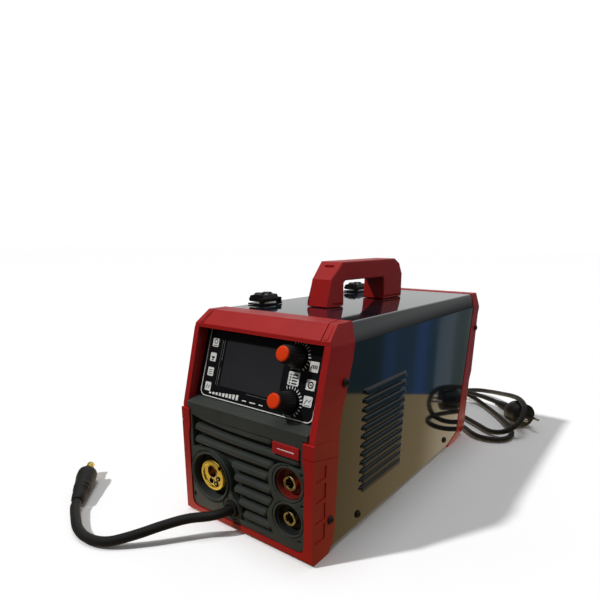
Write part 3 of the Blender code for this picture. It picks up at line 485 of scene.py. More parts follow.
def cord(name, route, radius):
    curve = bpy.data.curves.new(name, "CURVE")
    curve.dimensions = "3D"
    curve.bevel_depth = radius
    curve.bevel_resolution = 6
    curve.use_fill_caps = True
    path = [point + Vector((0, NOSE, 0)) for point in smooth_route(route, radius * 0.9)]
    spline = curve.splines.new("POLY")
    spline.points.add(len(path) - 1)
    for point, place in zip(spline.points, path):
        point.co = (*place, 1)
    spline.use_smooth = True
    curve.materials.append(LOOKS["rubber"])
    made = bpy.data.objects.new(name, curve)
    bpy.context.scene.collection.objects.link(made)
    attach(made, "chassis")
    return made


def end_place(route):
    """Local +Z runs on from the end of a cord, in millimetres."""
    end = Vector(route[-1]) / MM
    run = end - Vector(route[-2]) / MM
    return Matrix.Translation(end) @ run.to_track_quat("Z", "Y").to_matrix().to_4x4()


lead_end = end_place(LEAD_ROUTE)
BOOT = 62.2
boot_profile = [
    (0, BOOT - 20), (4.8, BOOT - 20), (4.8, BOOT - 0.4), (5.2, BOOT), (7.9, BOOT), (8.6, BOOT - 0.4),
    (9.6, BOOT - 1.6), (10.4, BOOT - 3.4), (10.6, BOOT - 8), (10.6, BOOT - 12), (10.2, BOOT - 17),
    (9.2, BOOT - 26), (8.6, BOOT - 32), (9.0, BOOT - 32.6), (9.0, BOOT - 34.4), (8.5, BOOT - 35),
    (8.1, BOOT - 38), (8.5, BOOT - 38.6), (8.5, BOOT - 40.4), (8.0, BOOT - 41), (7.4, 14), (7.0, 8),
    (6.4, 3), (5.6, 1.0), (4.9, 0.6), (0, 0.6),
]
lead_boot = piece("lead_plug_boot", lathe(boot_profile, lead_end, 40), "rubber",
                  replaces=["polarity_plug_boot"], clean=False)
pin_profile = [
    (0, BOOT + 20), (3.0, BOOT + 20), (3.7, BOOT + 19.4), (4.4, BOOT + 18), (4.4, BOOT + 12),
    (4.0, BOOT + 11.6), (4.0, BOOT + 9.2), (4.4, BOOT + 8.8), (4.4, BOOT - 19), (0, BOOT - 19),
]
lead_pin = piece("lead_plug_pin", lathe(pin_profile, lead_end, 32), "brass",
                 replaces=["polarity_plug_pin"], clean=False)
lead = cord("polarity_lead_cable", LEAD_ROUTE, 0.00475)
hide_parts("polarity_lead")

plug_end = end_place(MAINS_ROUTE)
plug_profile = [
    (0, 70), (15.6, 70), (16.6, 69.7), (17.6, 69.0), (18.0, 67.8), (18.0, 60), (17.5, 59.6), (17.5, 58.2),
    (18.0, 57.8), (18.0, 55.4), (17.5, 55.0), (17.5, 53.6), (18.0, 53.2), (18.0, 46), (17.2, 43.4),
    (14.4, 40.2), (10.4, 36), (9.0, 34), (7.6, 31), (7.2, 29.5), (6.4, 29), (6.4, 27), (7.0, 26.6),
    (7.0, 24.4), (6.2, 24), (6.2, 22), (6.7, 21.6), (6.7, 19.4), (5.9, 19), (5.9, 17), (6.3, 16.6),
    (6.3, 14.4), (5.5, 14), (5.5, 12), (5.9, 11.6), (5.9, 9.4), (5.2, 9), (5.0, 0.6), (0, 0.6),
]
plug = piece("mains_plug_body", lathe(plug_profile, plug_end, 48), "black",
             replaces=["mains_plug"], clean=False)
for side, shift in (("left", -9.5), ("right", 9.5)):
    profile = [(0, 89), (1.2, 88.8), (2.0, 88.0), (2.4, 86.8), (2.4, 70.1), (0, 70.1)]
    pin = lathe(profile, plug_end @ Matrix.Translation((shift, 0, 0)), 24)
    piece(f"plug_pin_{side}", pin, "steel",
                           replaces=[f"mains_plug_pin_{side}"], clean=False)
mains = cord("mains_cable", MAINS_ROUTE, 0.00375)
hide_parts("mains_cord")


# ---- front bezel --------------------------------------------------------------------------
BEZEL_REAR = [(26, 0), (33, 8), (35.5, 22), (37.2, 69), (38.9, 109), (40.5, 125), (47, 144.7),
              (56.2, 173), (58.7, 187.4), (60, 205.5)]
REAR_INNER = [(369, 205.5), (369, 187.4), (354.5, 31.5), (354.5, 13.4), (323, 4.2), (323, 0)]


def shoulders(front, back):
    return joined([prism([(side * 72.2, 215.5), (side * 82.1, 177.4), (side * 95, 215.5)], front, back,
                         "front") for side in (-1, 1)])


def groove(start, end, normal, width=1.0, depth=0.8):
    """A thin blade along a line on a face."""
    start = Vector(start)
    end = Vector(end)
    run = (end - start).normalized()
    normal = Vector(normal).normalized()
    across = run.cross(normal)
    turn = Matrix((across, run, normal)).transposed().to_4x4()
    blade = box((-width / 2, 0, -depth), (width / 2, (end - start).length, depth + 1))
    return moved(blade, Matrix.Translation(start) @ turn)


SLOPE = (0, -12.0, 15.0)


def front_bezel():
    upper = rounded(BEZEL_REAR[4:] + [(37.5, 205.5, 1.2), (22.5, 193.5, 1.0), (22.2, 190.5, 0.6),
                                      (2.4, 116), (2.4, 90), (30, 90)], 0)
    upper = prism(upper, -79.2, 79.2, "side")
    block = rounded([(26, 0), (33, 8), (35.5, 22), (37.2, 69), (38.7, 106.0), (21.7, 110.4),
                     (11, 112), (0, 113.4, 1.0), (0, 3.5, 1.5), (3.5, 0, 1.5)], 0)
    block = prism(block, -79.5, 79.5, "side")
    shell = carved(carved(upper, block, operation="UNION"), shoulders(-10, 80))
    opening = rounded([
        (73, 113.8), (73, 190), (-73, 190), (-73, 113.8), (-68.7, 113.8), (-68.7, 95.5), (-70.7, 87.5),
        (-70.7, 8.6, 8), (70.7, 8.6, 8), (70.7, 87.5), (68.7, 95.5), (68.7, 113.8),
    ], 0, 6)
    inside = [(14, 4), (90, 4), (90, 185), (37.5, 185), (17, 124), (14, 113)]
    attic = [(26.5, 189), (90, 189), (90, 202.4), (40, 202.4)]
    shell = carved(shell, prism(opening, -10, 90, "front"), prism(inside, -76.3, 76.3, "side"),
                   prism(attic, -72, 72, "side"))
    tools = []
    for side in (-1, 1):
        outer = (side * 78.7, side * 81)
        for low, high in ((20.2, 35.8), (39.6, 55.4), (59.4, 74.4), (78.4, 90.5)):
            pocket = rectangle(4.2, low, 19.4, high, 1.2, 5)
            tools.append(prism(pocket, min(outer), max(outer), "side"))
        seam = [(-2, 99.4), (4, 98.9), (18.8, 95.2), (26.2, 93.5), (42, 90.2), (42, 91.0), (26.2, 94.3),
                (18.8, 96.0), (4, 99.7), (-2, 100.2)]
        tools.append(prism(seam, min(side * 79.0, side * 81), max(side * 79.0, side * 81), "side"))
        tools.append(box((min(side * 66, side * 79.2), -1, 99.3), (max(side * 66, side * 79.2), 0.5, 100.0)))
        tools.append(groove((side * 69.1, 20.6, 192.0), (side * 66.6, 38.2, 206.1), SLOPE))
        tools.append(groove((side * 66.9, 36.8, 205.5), (side * 61, 62, 205.5), (0, 0, 1)))
    shell = carved(beveled(shell, 0.7), *tools)
    flattened(piece("front_bezel_shell", shell, "red", replaces=["front_bezel"], sharp=30))


front_bezel()
for side, word in ((-1, "left"), (1, "right")):
    quad = [Vector((side * x, y, z)) for x, y, z in (
        (70.5, 23.6, 194.4), (74.4, 23.6, 194.4), (72.6, 35.4, 203.8), (68.5, 35.4, 203.8))]
    normal = Vector(SLOPE).normalized()
    strip = skinned([[point + normal * lift for point in quad] for lift in (-0.8, 0.55)])
    piece(f"bezel_strip_{word}", strip, "red", edge=0.35, segments=3)


# ---- rear bezel ---------------------------------------------------------------------------
def rear_bezel():
    outline = rounded([
        (350, 0), (384, 9, 6), (385.5, 83, 4), (390.5, 95, 4), (390.5, 176, 5), (393, 184, 5),
        (388, 205.5, 2), *REAR_INNER])
    inner = [(-76.5, 3), (76.5, 3), (76.5, 185), (71.5, 202.2), (-71.5, 202.2), (-76.5, 185)]
    window = rounded([(-72.5, 11), (72.5, 11), (72.5, 184), (67, 196), (-67, 196), (-72.5, 184)], 4)
    shell = carved(
        prism(outline, -79.5, 79.5, "side"), shoulders(300, 410), prism(inner, 300, 379, "front"),
        prism(window, 370, 410, "front"),
        *[groove((x, 360, 205.5), (x, 396, 205.5), (0, 0, 1)) for x in (-62.0, 62.0)])
    piece("rear_bezel_shell", shell, "red", replaces=["rear_bezel"], edge=0.7, segments=3,
          sharp=45)


rear_bezel()


# ---- lower front plate --------------------------------------------------------------------
def facing(x, z, y=0.0):
    """Local +Z looks out of the front."""
    return Matrix.Translation((x, y, z)) @ FORWARD


def circle(x, z, radius, start=0, end=360, steps=32):
    return [(x + radius * math.cos(math.radians(start + (end - start) * i / steps)),
             z + radius * math.sin(math.radians(start + (end - start) * i / steps)))
            for i in range(steps + 1)]


# each socket's middle: x, z
TORCH, GROMMET, POWER_X = (-44, 48), (-16, 22.6), 52.6
POWER = {"positive": 70.7, "negative": 36.4}
FACE = 1.2
RIB_AXIS, RIB_REACH, RIB_HALF = 6.0, 4.6, 3.95
# each rib: z, left end, right end, rise
RIBS = [
    (104.2, -66, 35.5, 2.4), (92.4, -66, 66, 1.5), (80.6, -66, 35, 0.6), (68.4, -16.5, 29.5, 0.0),
    (56.2, -13.6, 33.5, 0.0), (43.8, -14.2, 33, 0.0), (31.4, -9.5, 27.5, 0.0), (20.0, -3.5, 33, 0.0),
]


def rib(z, left, right, rise):
    """A front rib: a rounded bar with rounded ends that rises towards its left."""
    stations = 36
    rings = []
    for index in range(stations + 1):
        t = index / stations
        x = left + (right - left) * t
        inset = min(x - left, right - x)
        size = max(0.10, math.sqrt(max(0.0, 1 - (1 - min(1.0, inset / 3.0)) ** 2)))
        middle = z + rise * max(0.0, (4 - x) / 49) ** 2
        turns = [2 * math.pi * step / 16 for step in range(16)]
        rings.append([(x, RIB_AXIS - RIB_REACH * size * math.cos(a), middle + RIB_HALF * size * math.sin(a))
                      for a in turns])
    return skinned(rings)


def front_plate():
    outline = rounded([
        (72.6, 114.2), (72.6, 124.0), (-72.6, 124.0), (-72.6, 114.2), (-68.3, 114.2), (-68.3, 95.3),
        (-70.3, 87.3), (-70.3, 9.0, 7.6), (70.3, 9.0, 7.6), (70.3, 87.3), (68.3, 95.3), (68.3, 114.2),
    ], 0, 6)
    brow = [(-1, 119.9), (FACE, 119.9), (14.3, 123.7), (20, 123.7), (20, 130), (-1, 130)]
    hollow = [(9.5, 5), (20, 5), (20, 116), (9.5, 116)]
    cuts = [prism(brow, -80, 80, "side"), prism(hollow, -75, 75, "side")]
    field = (
        [(-66, 107.6), (35.8, 107.6), (35.8, 96.4), (66, 96.4), (66, 87), (60, 87), (52, 88.8),
         (44, 87.4), (37.4, 84.6), (33, 80), (30.5, 75.6), (30, 70), (31.4, 62), (34.4, 55.6),
         (36.8, 51.6), (34.3, 46), (30.5, 40), (28.4, 34.1), (29.5, 27), (33, 21), (36.8, 15),
         (33, 14.2), (-3.6, 14.2)]
        + circle(*GROMMET, 11.5, -20, 62, 8)
        + circle(*TORCH, 27.9, -14, 92, 14)
        + [(-58, 74.5), (-66, 74.9)]
    )
    cuts.append(prism(field, -5, 8.7, "front"))
    sockets = [(*TORCH, 25.6, 26.3), (POWER_X, POWER["positive"], 14.8, 16.9),
               (POWER_X, POWER["negative"], 14.8, 16.9), (*GROMMET, 8.8, 10.6)]
    for x, z, bore, _ in sockets:
        cuts.append(prism(circle(x, z, bore, 0, 353, 52), -5, 30, "front"))
    for x, z, _, radius in sockets:
        ring = [(radius, 0.9), (radius + 0.9, 0.9), (radius + 0.9, -0.7), (radius, -0.7)]
        cuts.append(lathe(ring, facing(x, z, FACE), 48, True))
    for x0, z0, x1, z1 in ((66.0, 82.5, 68.6, 84.6), (66.4, 53.6, 69.2, 55.8), (64.0, 18.4, 67.6, 20.4),
                           (-69.0, 19.0, -66.6, 24.0)):
        cuts.append(box((x0, -1, z0), (x1, 4.2, z1)))
    slab = carved(prism(outline, FACE, 16, "front"), *cuts)
    piece("front_plate_moulding", slab, "dark", replaces=["front_plate"], edge=0.45,
          segments=3, sharp=45)
    piece("front_plate_ribs", joined([rib(*values) for values in RIBS]), "dark",
          clean=False, sharp=60)


front_plate()

# badge: a plain raised plate with a pale line
badge = prism(rectangle(36.6, 96.6, 65.0, 107.2, 0.8, 5), FACE - 1.3, FACE + 4.5, "front")
piece("badge_plain", badge, "badge", replaces=["badge_plate"], edge=0.35, segments=3)
line = prism(rectangle(42, 101.5, 60, 102.3, 0.3, 5), FACE - 1.42, FACE - 1.2, "front")
piece("badge_line", line, "print", clean=False)


# ---- control panel ------------------------------------------------------------------------
def flat(outline, low, high):
    """A plate on the panel, from an outline of (across, up the slope)."""
    return moved(prism(outline, low, high), PANEL)


SCREEN = (-44.8, 20.5, 27.8, 66.6)              # left, foot, right, top
DIALS = {"current": 61.0, "voltage": 21.8}      # up the slope
DIAL_X = 40
panel = carved(
    prism(rectangle(-72.7, 7.5, 72.7, 75.0), -2.5, 0), prism(rectangle(*SCREEN, 1.2), -5, 5),
    *[rod((DIAL_X, dial_up, -5), (DIAL_X, dial_up, 5), 4.5, 32) for dial_up in DIALS.values()])
piece("panel_face", moved(panel, PANEL), "panel", replaces=["control_panel"], edge=0.2)
left, foot, right, top = SCREEN
glass = flat(rectangle(left + 0.3, foot + 0.3, right - 0.3, top - 0.3, 1.0), -2.2, -0.35)
piece("display_glass", glass, "screen", replaces=["display_window"], edge=0.25)


def stroke(points, width):
    """A flat line of even width along points, as an outline."""
    points = [Vector(point) for point in points]
    left = []
    right = []
    for index, here in enumerate(points):
        ahead = points[min(index + 1, len(points) - 1)] - points[max(index - 1, 0)]
        side = Vector((-ahead.y, ahead.x)).normalized() * width / 2
        left.append(tuple(here + side))
        right.append(tuple(here - side))
    return left + right[::-1]


def border():
    left = -67.2
    low = 8.7
    corner = 6.0
    path = [(left, 75.0), (left, low + corner)]
    path += circle(left + corner, low + corner, corner, 180, 270, 8)
    path += circle(-left - corner, low + corner, corner, 270, 360, 8)
    path += [(-left, 75.0)]
    clean = []
    for point in path:
        if not clean or (Vector(point) - Vector(clean[-1])).length > 0.05:
            clean.append(point)
    return clean


INK = (0.0, 0.14)
DARK_INK = (0.10, 0.24)
white = [stroke(border(), 0.85), rectangle(34.8, 36.4, 46.6, 48.2, 1.0)]
white += [rectangle(-62.6, up - 4.2, -54.8, up + 4.2, 0.9) for up in (61.0, 46.7, 32.4, 18.0)]
white += [rectangle(54.6, up - 4.5, 63.6, up + 4.5, 0.9) for up in (55.3, 40.0, 26.1)]
# dial scales
for dial_up in DIALS.values():
    for tick in range(13):
        a = math.radians(-48 + tick * 13.2)
        middle, out = Vector((DIAL_X, dial_up)), Vector((math.cos(a), math.sin(a)))
        white.append([tuple(middle + out * far + out.orthogonal() * wide)
                      for far, wide in rectangle(11.6, -0.42, 14.2, 0.42)])
# a plain rising bar scale under the screen
for bar in range(9):
    x = -55.5 + bar * 4.4
    white.append(rectangle(x, 11.6, x + 2.9, 13.2 + bar * 0.42))
white += [rectangle(x0, 12.4, x1, 13.4) for x0, x1 in ((-12.0, -7.0), (-3.0, 4.0), (8.0, 13.0))]
# left tiles: a coil, a half disc, a grid and a zigzag; right tiles: bars, a ring and a slope
dark = [
    stroke(circle(-58.7, 62.0, 1.9, 0, 345, 20), 0.9), rectangle(-61.2, 57.7, -56.2, 58.5),
    circle(-58.7, 47.4, 2.3, 180, 355, 12), rectangle(-60.0, 43.4, -57.4, 44.4),
    stroke([(-61.2, 15.8), (-59.4, 20.0), (-57.6, 16.4), (-56.2, 19.6)], 0.7),
    stroke(circle(59.1, 40.0, 2.5, 0, 350, 24), 1.2), rectangle(57.8, 39.5, 60.4, 40.5),
    stroke([(56.0, 23.6), (58.4, 27.6), (60.2, 25.4), (62.2, 28.4)], 0.7),
    rectangle(56.0, 22.4, 62.2, 22.9),
]
dark += [rectangle(-61.0, 29.9 + row * 2.0, -56.4, 30.6 + row * 2.0) for row in range(3)]
dark += [rectangle(56.2 + column * 1.7, 53.6, 57.2 + column * 1.7, 56.8) for column in range(4)]
for row in range(4):
    level = 45.6 - row * 2.5
    dark += [rectangle(x0, level - 0.6, x1, level + 0.6) for x0, x1 in ((36.6, 37.9), (39.2, 44.8))]
# The four thin lines along the left side and the foot of the screen are painted reflections of edges; the
# other two lie under the dials.
grey_lines_and_painted_reflections = [
    rectangle(36.0, 50.4, 45.6, 51.3), rectangle(36.6, 9.9, 45.0, 10.8), rectangle(-46.9, 45.0, -46.5, 65.0),
    rectangle(-46.9, 20.5, -46.5, 38.0), rectangle(-49.4, 21.0, -49.1, 64.0),
    rectangle(-8.0, 19.0, 24.0, 19.25),
]
for word, outlines, finish, ink in (("white", white, "print", INK), ("dark", dark, "panel", DARK_INK),
                                    ("grey_lines_and_painted_reflections", grey_lines_and_painted_reflections, "grey_lines_painted_reflection_look", INK)):
    piece(f"panel_print_{word}", joined([flat(outline, *ink) for outline in outlines]), finish,
          clean=False)


# ---- dials --------------------------------------------------------------------------------
for which, dial_up in DIALS.items():
    place = PANEL @ Matrix.Translation((DIAL_X, dial_up, 0))
    barrel = [
        (0, 19.2), (6.9, 19.2), (6.9, 20.2), (7.1, 20.5), (7.4, 20.5), (7.7, 20.0), (9.4, 4.4),
        (9.4, 3.2), (9.8, 2.4), (9.8, 1.2), (9.5, 0.9), (3.3, 0.9), (3.3, 12), (0, 12),
    ]
    piece(f"{which}_dial_barrel", lathe(barrel, place, 144, flutes=24, flute_depth=0.45), "black",
          body=f"{which}_dial", replaces=[f"{which}_knob"], clean=False, sharp=50)
    cap = [(0, 22.35), (2.6, 22.3), (4.8, 22.15), (5.9, 21.95), (6.4, 21.5), (6.65, 20.9), (6.65, 19.3),
           (0, 19.3)]
    cap = lathe(cap, place, 64)
    piece(f"{which}_dial_cap", cap, "orange", body=f"{which}_dial",
          replaces=[f"{which}_knob_cap"], clean=False, sharp=50)


# ---- front sockets ------------------------------------------------------------------------
collar = [(25.3, 0.2), (24.9, 0.6), (24.2, 0.2), (22.9, -1.2), (22.4, -15.0), (17.1, -15.0), (17.1, -18),
          (25.0, -18), (25.3, -2)]
piece("torch_collar", lathe(collar, facing(*TORCH), 72, True), "dark",
      replaces=["torch_socket_collar"], clean=False)


def torch_body():
    x, z = TORCH
    body = [(0, -4.6), (11.8, -4.6), (12.4, -3.4), (15.2, -3.4), (16.2, -4.2), (16.7, -5.4), (16.7, -9.4),
            (16.1, -10), (16.1, -12.2), (16.7, -12.8), (16.7, -30), (8, -30), (8, -60), (0, -60)]
    bores = ((-0.6, 3.4, 6.0, 24), (-1.8, -6.6, 2.9, 20), (7.2, -2.4, 2.3, 16), (4.4, -8.2, 2.3, 16))
    keyway = Matrix.Translation((x + 9.0, 0, z + 8.6)) @ Matrix.Rotation(0.75, 4, "Y")
    mesh = carved(lathe(body, facing(x, z), 72),
                  *[rod((x + dx, -3, z + dz), (x + dx, depth, z + dz), radius, 32)
                    for dx, dz, radius, depth in bores],
                  moved(box((-1.7, -3, -1.4), (1.7, 12, 6)), keyway))
    piece("torch_socket_brass", mesh, "brass", replaces=["torch_socket_body"], edge=0.3)
    for dx, dz, radius, _ in bores[:2]:
        ring = [(radius - 0.05, -5.0), (radius - 0.05, -4.0), (radius + 0.5, -4.1), (radius + 0.9, -4.7),
                (radius + 0.9, -5.2)]
        piece(f"torch_bore_rim_{round(10 * radius)}", lathe(ring, facing(x + dx, z + dz), 40, True),
              "pale_brass", clean=False)
    for index, (dx, dz, _, _) in enumerate(bores[2:]):
        sleeve = [(2.25, -3.7), (2.25, -15), (1.35, -15), (1.35, -3.7)]
        piece(f"trigger_sleeve_{index}", lathe(sleeve, facing(x + dx, z + dz), 28, True), "black",
              clean=False)
        pin = [(0, -3.9), (0.8, -4.0), (1.15, -4.5), (1.15, -15), (0, -15)]
        piece(f"trigger_pin_{index}", lathe(pin, facing(x + dx, z + dz), 20), "pale_brass",
              clean=False)


torch_body()
for which, finish in (("positive", "maroon"), ("negative", "black")):
    z = POWER[which]
    place = facing(POWER_X, z)
    shell = [(14.5, -3.6), (14.1, -3.2), (13.4, -3.3), (12.9, -3.8), (12.6, -7.6), (12.2, -8.2), (7.4, -8.2),
             (7.05, -8.5), (7.05, -30), (11, -30), (11, -9), (14.5, -9)]
    piece(f"{which}_shell", lathe(shell, place, 64, True), finish,
          replaces=[f"{which}_socket_shell"], clean=False)
    contact = [(0, -28), (4.2, -28), (4.2, -4.8), (4.6, -3.7), (5.3, -3.4), (6.3, -3.4), (6.8, -3.9),
               (6.8, -36), (0, -36)]
    mesh = carved(lathe(contact, place, 56),
                  box((POWER_X - 1.3, 1.0, z + 2.5), (POWER_X + 1.3, 12, z + 6.0)))
    piece(f"{which}_contact", mesh, "pale_brass", replaces=[f"{which}_socket_contact"], edge=0.15)
    marks = [box((44.6, 7.9, z - 6.3), (47.6, 8.3, z - 5.7))]
    if which == "positive":
        marks.append(box((45.8, 7.9, z - 7.5), (46.4, 8.3, z - 4.5)))
    piece(f"{which}_mark", joined(marks), "print", clean=False)

grommet = [(8.5, -6), (8.5, 0.6), (8.3, 1.6), (7.6, 2.0), (6.2, 2.0), (5.4, 1.6), (5.2, 0.8), (5.2, -6)]
piece("lead_grommet_ring", lathe(grommet, facing(*GROMMET), 40, True), "rubber",
      replaces=["lead_grommet"], clean=False)


# ---- folded sheets ------------------------------------------------------------------------
SIDE, FOLD, THICKNESS = 78.8, 3.0, 1.2


def edge_at(profile, z):
    """The y of a bezel's edge at a height."""
    points = sorted(profile, key=lambda point: point[1])
    for (y0, z0), (y1, z1) in zip(points, points[1:]):
        if z0 <= z <= z1 and z1 > z0:
            return y0 + (y1 - y0) * (z - z0) / (z1 - z0)
    return points[-1][0] if z > points[-1][1] else points[0][0]


def bend(points, radius, steps=6):
    """An open run of points with its inner corners rounded."""
    return rounded([(*points[0], 0), *[(*point, radius) for point in points[1:-1]], (*points[-1], 0)],
                   0, steps)


def sheet(section):
    """Folded sheet metal between the two bezels, from a section of (x, z) corners."""
    run = bend(section, FOLD)
    levels = sorted({z for _, z in BEZEL_REAR} | {z for _, z in REAR_INNER})
    fine = [run[0]]
    for (x0, z0), (x1, z1) in zip(run, run[1:]):
        splits = [level for level in levels if min(z0, z1) + 0.2 < level < max(z0, z1) - 0.2]
        for level in sorted(splits, reverse=z1 < z0):
            t = (level - z0) / (z1 - z0)
            fine.append((x0 + (x1 - x0) * t, level))
        fine.append((x1, z1))
    rows = []
    for index, (x, z) in enumerate(fine):
        x0, z0 = fine[max(index - 1, 0)]
        x1, z1 = fine[min(index + 1, len(fine) - 1)]
        side = Vector((z1 - z0, x0 - x1)).normalized()
        if side.dot(Vector((x, z - 100))) > 0:
            side = -side
        front = edge_at(BEZEL_REAR, z) + 0.35
        back = edge_at(REAR_INNER, z) - 0.35
        inner_x = x + side.x * THICKNESS
        inner_z = z + side.y * THICKNESS
        rows.append([(x, front, z), (x, back, z), (inner_x, back, inner_z), (inner_x, front, inner_z)])
    return skinned(rows)


LOUVRES, PITCH, FOOT, LOUVRE_FRONT, LOUVRE_BACK = 12, 8.9, 37.2, 78.5, 166.5
LOUVRE_REACH, LOUVRE_HEIGHT, LOUVRE_SHEET, LOUVRE_END = 3.1, 6.3, 0.75, 4.5


def hood(foot):
    """One pressed louvre: a rounded hood, open along its lower edge."""
    columns = 30
    rows = 9
    rings = []
    for column in range(columns + 1):
        ring = []
        for inset in (0.0, LOUVRE_SHEET):
            eased = 0.5 - 0.5 * math.cos(math.pi * column / columns)
            y = LOUVRE_FRONT + inset + (LOUVRE_BACK - LOUVRE_FRONT - 2 * inset) * eased
            end = min(y - LOUVRE_FRONT - inset, LOUVRE_BACK - inset - y) / LOUVRE_END
            swell = math.sqrt(max(0.0, 1 - (1 - min(1.0, end)) ** 2))
            line = []
            for row in range(rows + 1):
                v = row / rows * math.pi / 2
                out = (LOUVRE_REACH - inset) * swell * math.sin(v) ** 0.9
                low = (LOUVRE_HEIGHT - inset) * swell * (1 - math.cos(v) ** 1.1)
                line.append((SIDE - 0.15 + out, y, foot + 7.1 - inset - low - (1 - swell) * 1.2))
            ring += line if inset == 0 else line[::-1]
        rings.append(ring)
    return skinned(rings)


cover = sheet([(-72.2, 204.8), (74.3, 204.8), (SIDE, 187.3), (SIDE, 4.5)])
slits = [box((70, LOUVRE_FRONT + 3, FOOT + index * PITCH + 0.9),
             (90, LOUVRE_BACK - 3, FOOT + index * PITCH + 5.4)) for index in range(LOUVRES)]
cover = carved(cover, joined(slits))
piece("cover_sheet", cover, "paint", replaces=["cover"], sharp=30)
piece("cover_louvres", joined([hood(FOOT + index * PITCH) for index in range(LOUVRES)]), "hood",
      clean=False, sharp=60)
door = [sheet([(-74.3, 204.4), (-SIDE, 187.3), (-SIDE, 10.4)])]
for start in (80.0, 289.0):
    knuckle = [(3, 0.3), (3, 19.7), (2.7, 20), (1.8, 20), (1.8, 0), (2.7, 0)]
    door.append(lathe(knuckle, Matrix.Translation((-79, start, 7.6)) @ BACKWARD, 28, True))
    door.append(box((-79.4, start + 0.2, 9.6), (-78.2, start + 19.8, 12.5)))
piece("wire_door_sheet", joined(door), "paint", body="door", replaces=["wire_door"],
      clean=False, sharp=30)


# ---- handle -------------------------------------------------------------------------------
def slid(corner, other, onwards, distance):
    """A corner moved along its second edge until its first edge has moved inwards by a distance."""
    corner = Vector(corner)
    first = (Vector(other) - corner).normalized()
    second = (Vector(onwards) - corner).normalized()
    return tuple(corner + second * distance / abs(first.cross(second)))


GRIP_HALF, FRONT_CHAMFER = 13.5, 9.5


def handle():
    foot = 205.1
    outline = [
        (117, foot), (144, foot), (144, 228.5), (147.5, 231), (229.5, 231), (233, 227.5), (233, foot),
        (281.2, foot), (280.5, 233), (271.5, 245.8), (259, 251.5), (140.5, 250), (124.5, 232.5),
    ]
    chamfered = [slid(outline[0], outline[-1], outline[1], FRONT_CHAMFER), *outline[1:-1],
                 slid(outline[-1], outline[0], outline[-2], FRONT_CHAMFER)]
    mesh = layers([(outline, -GRIP_HALF), (outline, 10.6), (chamfered, GRIP_HALF)], "side")
    slope = Vector((16.0, 17.5)).normalized()
    spot = Vector((124.5, 232.5)) + slope * 17.5
    lie = Matrix.Translation((0, *spot)) @ Matrix.Rotation(math.atan2(slope.y, slope.x), 4, "X")
    cuts = [moved(box((-5.5, -0.9, -1.6), (5.5, 0.9, 3)), lie)]
    for y, depth in ((118.5, 24), (234.5, 45)):
        cuts.append(joined([box((side * 13.2 - 1, y, 207.6), (side * 13.2 + 1, y + depth, 208.1))
                            for side in (-1, 1)]))
    mesh = carved(mesh, *cuts)
    piece("carry_handle", mesh, "red", replaces=["handle"], edge=1.3, segments=3, sharp=12)


handle()


# ---- screws -------------------------------------------------------------------------------
SCREWS = {
    "side_screw_front_upper": (79.5, 44.5, 156.2), "side_screw_front_lower": (79.5, 27.5, 34.0),
    "side_screw_foot_front": (78.8, 78.0, 15.0), "side_screw_foot_rear": (78.8, 306.0, 16.5),
    "side_screw_rear": (79.5, 384.5, 158.0),
}


def screw(name, place, replaces=()):
    head = [(0, 1.9), (1.2, 2.3), (2.4, 2.1), (3.4, 1.5), (4.0, 0.7), (4.0, 0), (1.5, 0), (1.5, -5), (0, -5)]
    cross = [moved(box((-x, -y, 1.0), (x, y, 4)), place) for x, y in ((2.0, 0.45), (0.45, 2.0))]
    head = carved(lathe(head, place, 32), *cross)
    piece(name, head, "black_steel", replaces=replaces, edge=0.12)


for name, (x, y, z) in SCREWS.items():
    screw(f"head_{name}", Matrix.Translation((x + 0.3, y, z)) @ SIDEWAYS, [name])
    if "foot" not in name:
        screw(f"head_left_{name}", Matrix.Translation((-x - 0.3, y, z)) @ SIDEWAYS.inverted())


# ---- CAD pieces that keep their shape ------------------------------------------------------
KEPT = {
    "base_tray": ("zinc", 0.2), "door_hinge_rod": ("steel", 0), "latch_base_front": ("panel", 0.35),
    "latch_base_rear": ("panel", 0.35), "latch_lever_front": ("panel", 0.6),
    "latch_lever_rear": ("panel", 0.6), "rear_panel": ("black_steel", 0.2), "switch_frame": ("black", 0.3),
    "switch_rocker": ("maroon", 0.4), "fan_frame": ("black", 0.3), "fan_rotor": ("black", 0.2),
    "gas_inlet": ("brass", 0.15), "mains_gland": ("black", 0.3), "control_board": ("board", 0.1),
    "divider": ("zinc", 0.1), "feeder_plate": ("aluminium", 0.3), "feeder_motor": ("black_steel", 0.3),
    "drive_roll": ("steel", 0.15), "pressure_arm": ("aluminium", 0.4), "pressure_roll": ("steel", 0.15),
    "tension_lever": ("black", 0.3), "spool_spindle": ("black", 0.2), "spool_nut": ("black", 0.4),
    "inverter_board": ("board", 0.1), "heat_sink": ("aluminium", 0.15), "transformer": ("black_steel", 0.5),
}
for name, (finish, width) in KEPT.items():
    kept = frame["nodes"][name]
    kept.data.materials.clear()
    kept.data.materials.append(LOOKS[finish])
    weld = kept.modifiers.new("weld", "WELD")
    weld.merge_threshold = 0.000002
    if width:
        edged(kept, width, 2, 40)


# ---- fan guard ----------------------------------------------------------------------------
def torus(radius, thick, place, steps=64):
    ring = [(radius + thick * math.cos(2 * math.pi * i / 10), thick * math.sin(2 * math.pi * i / 10))
            for i in range(10)]
    return lathe(ring, place, steps, True)


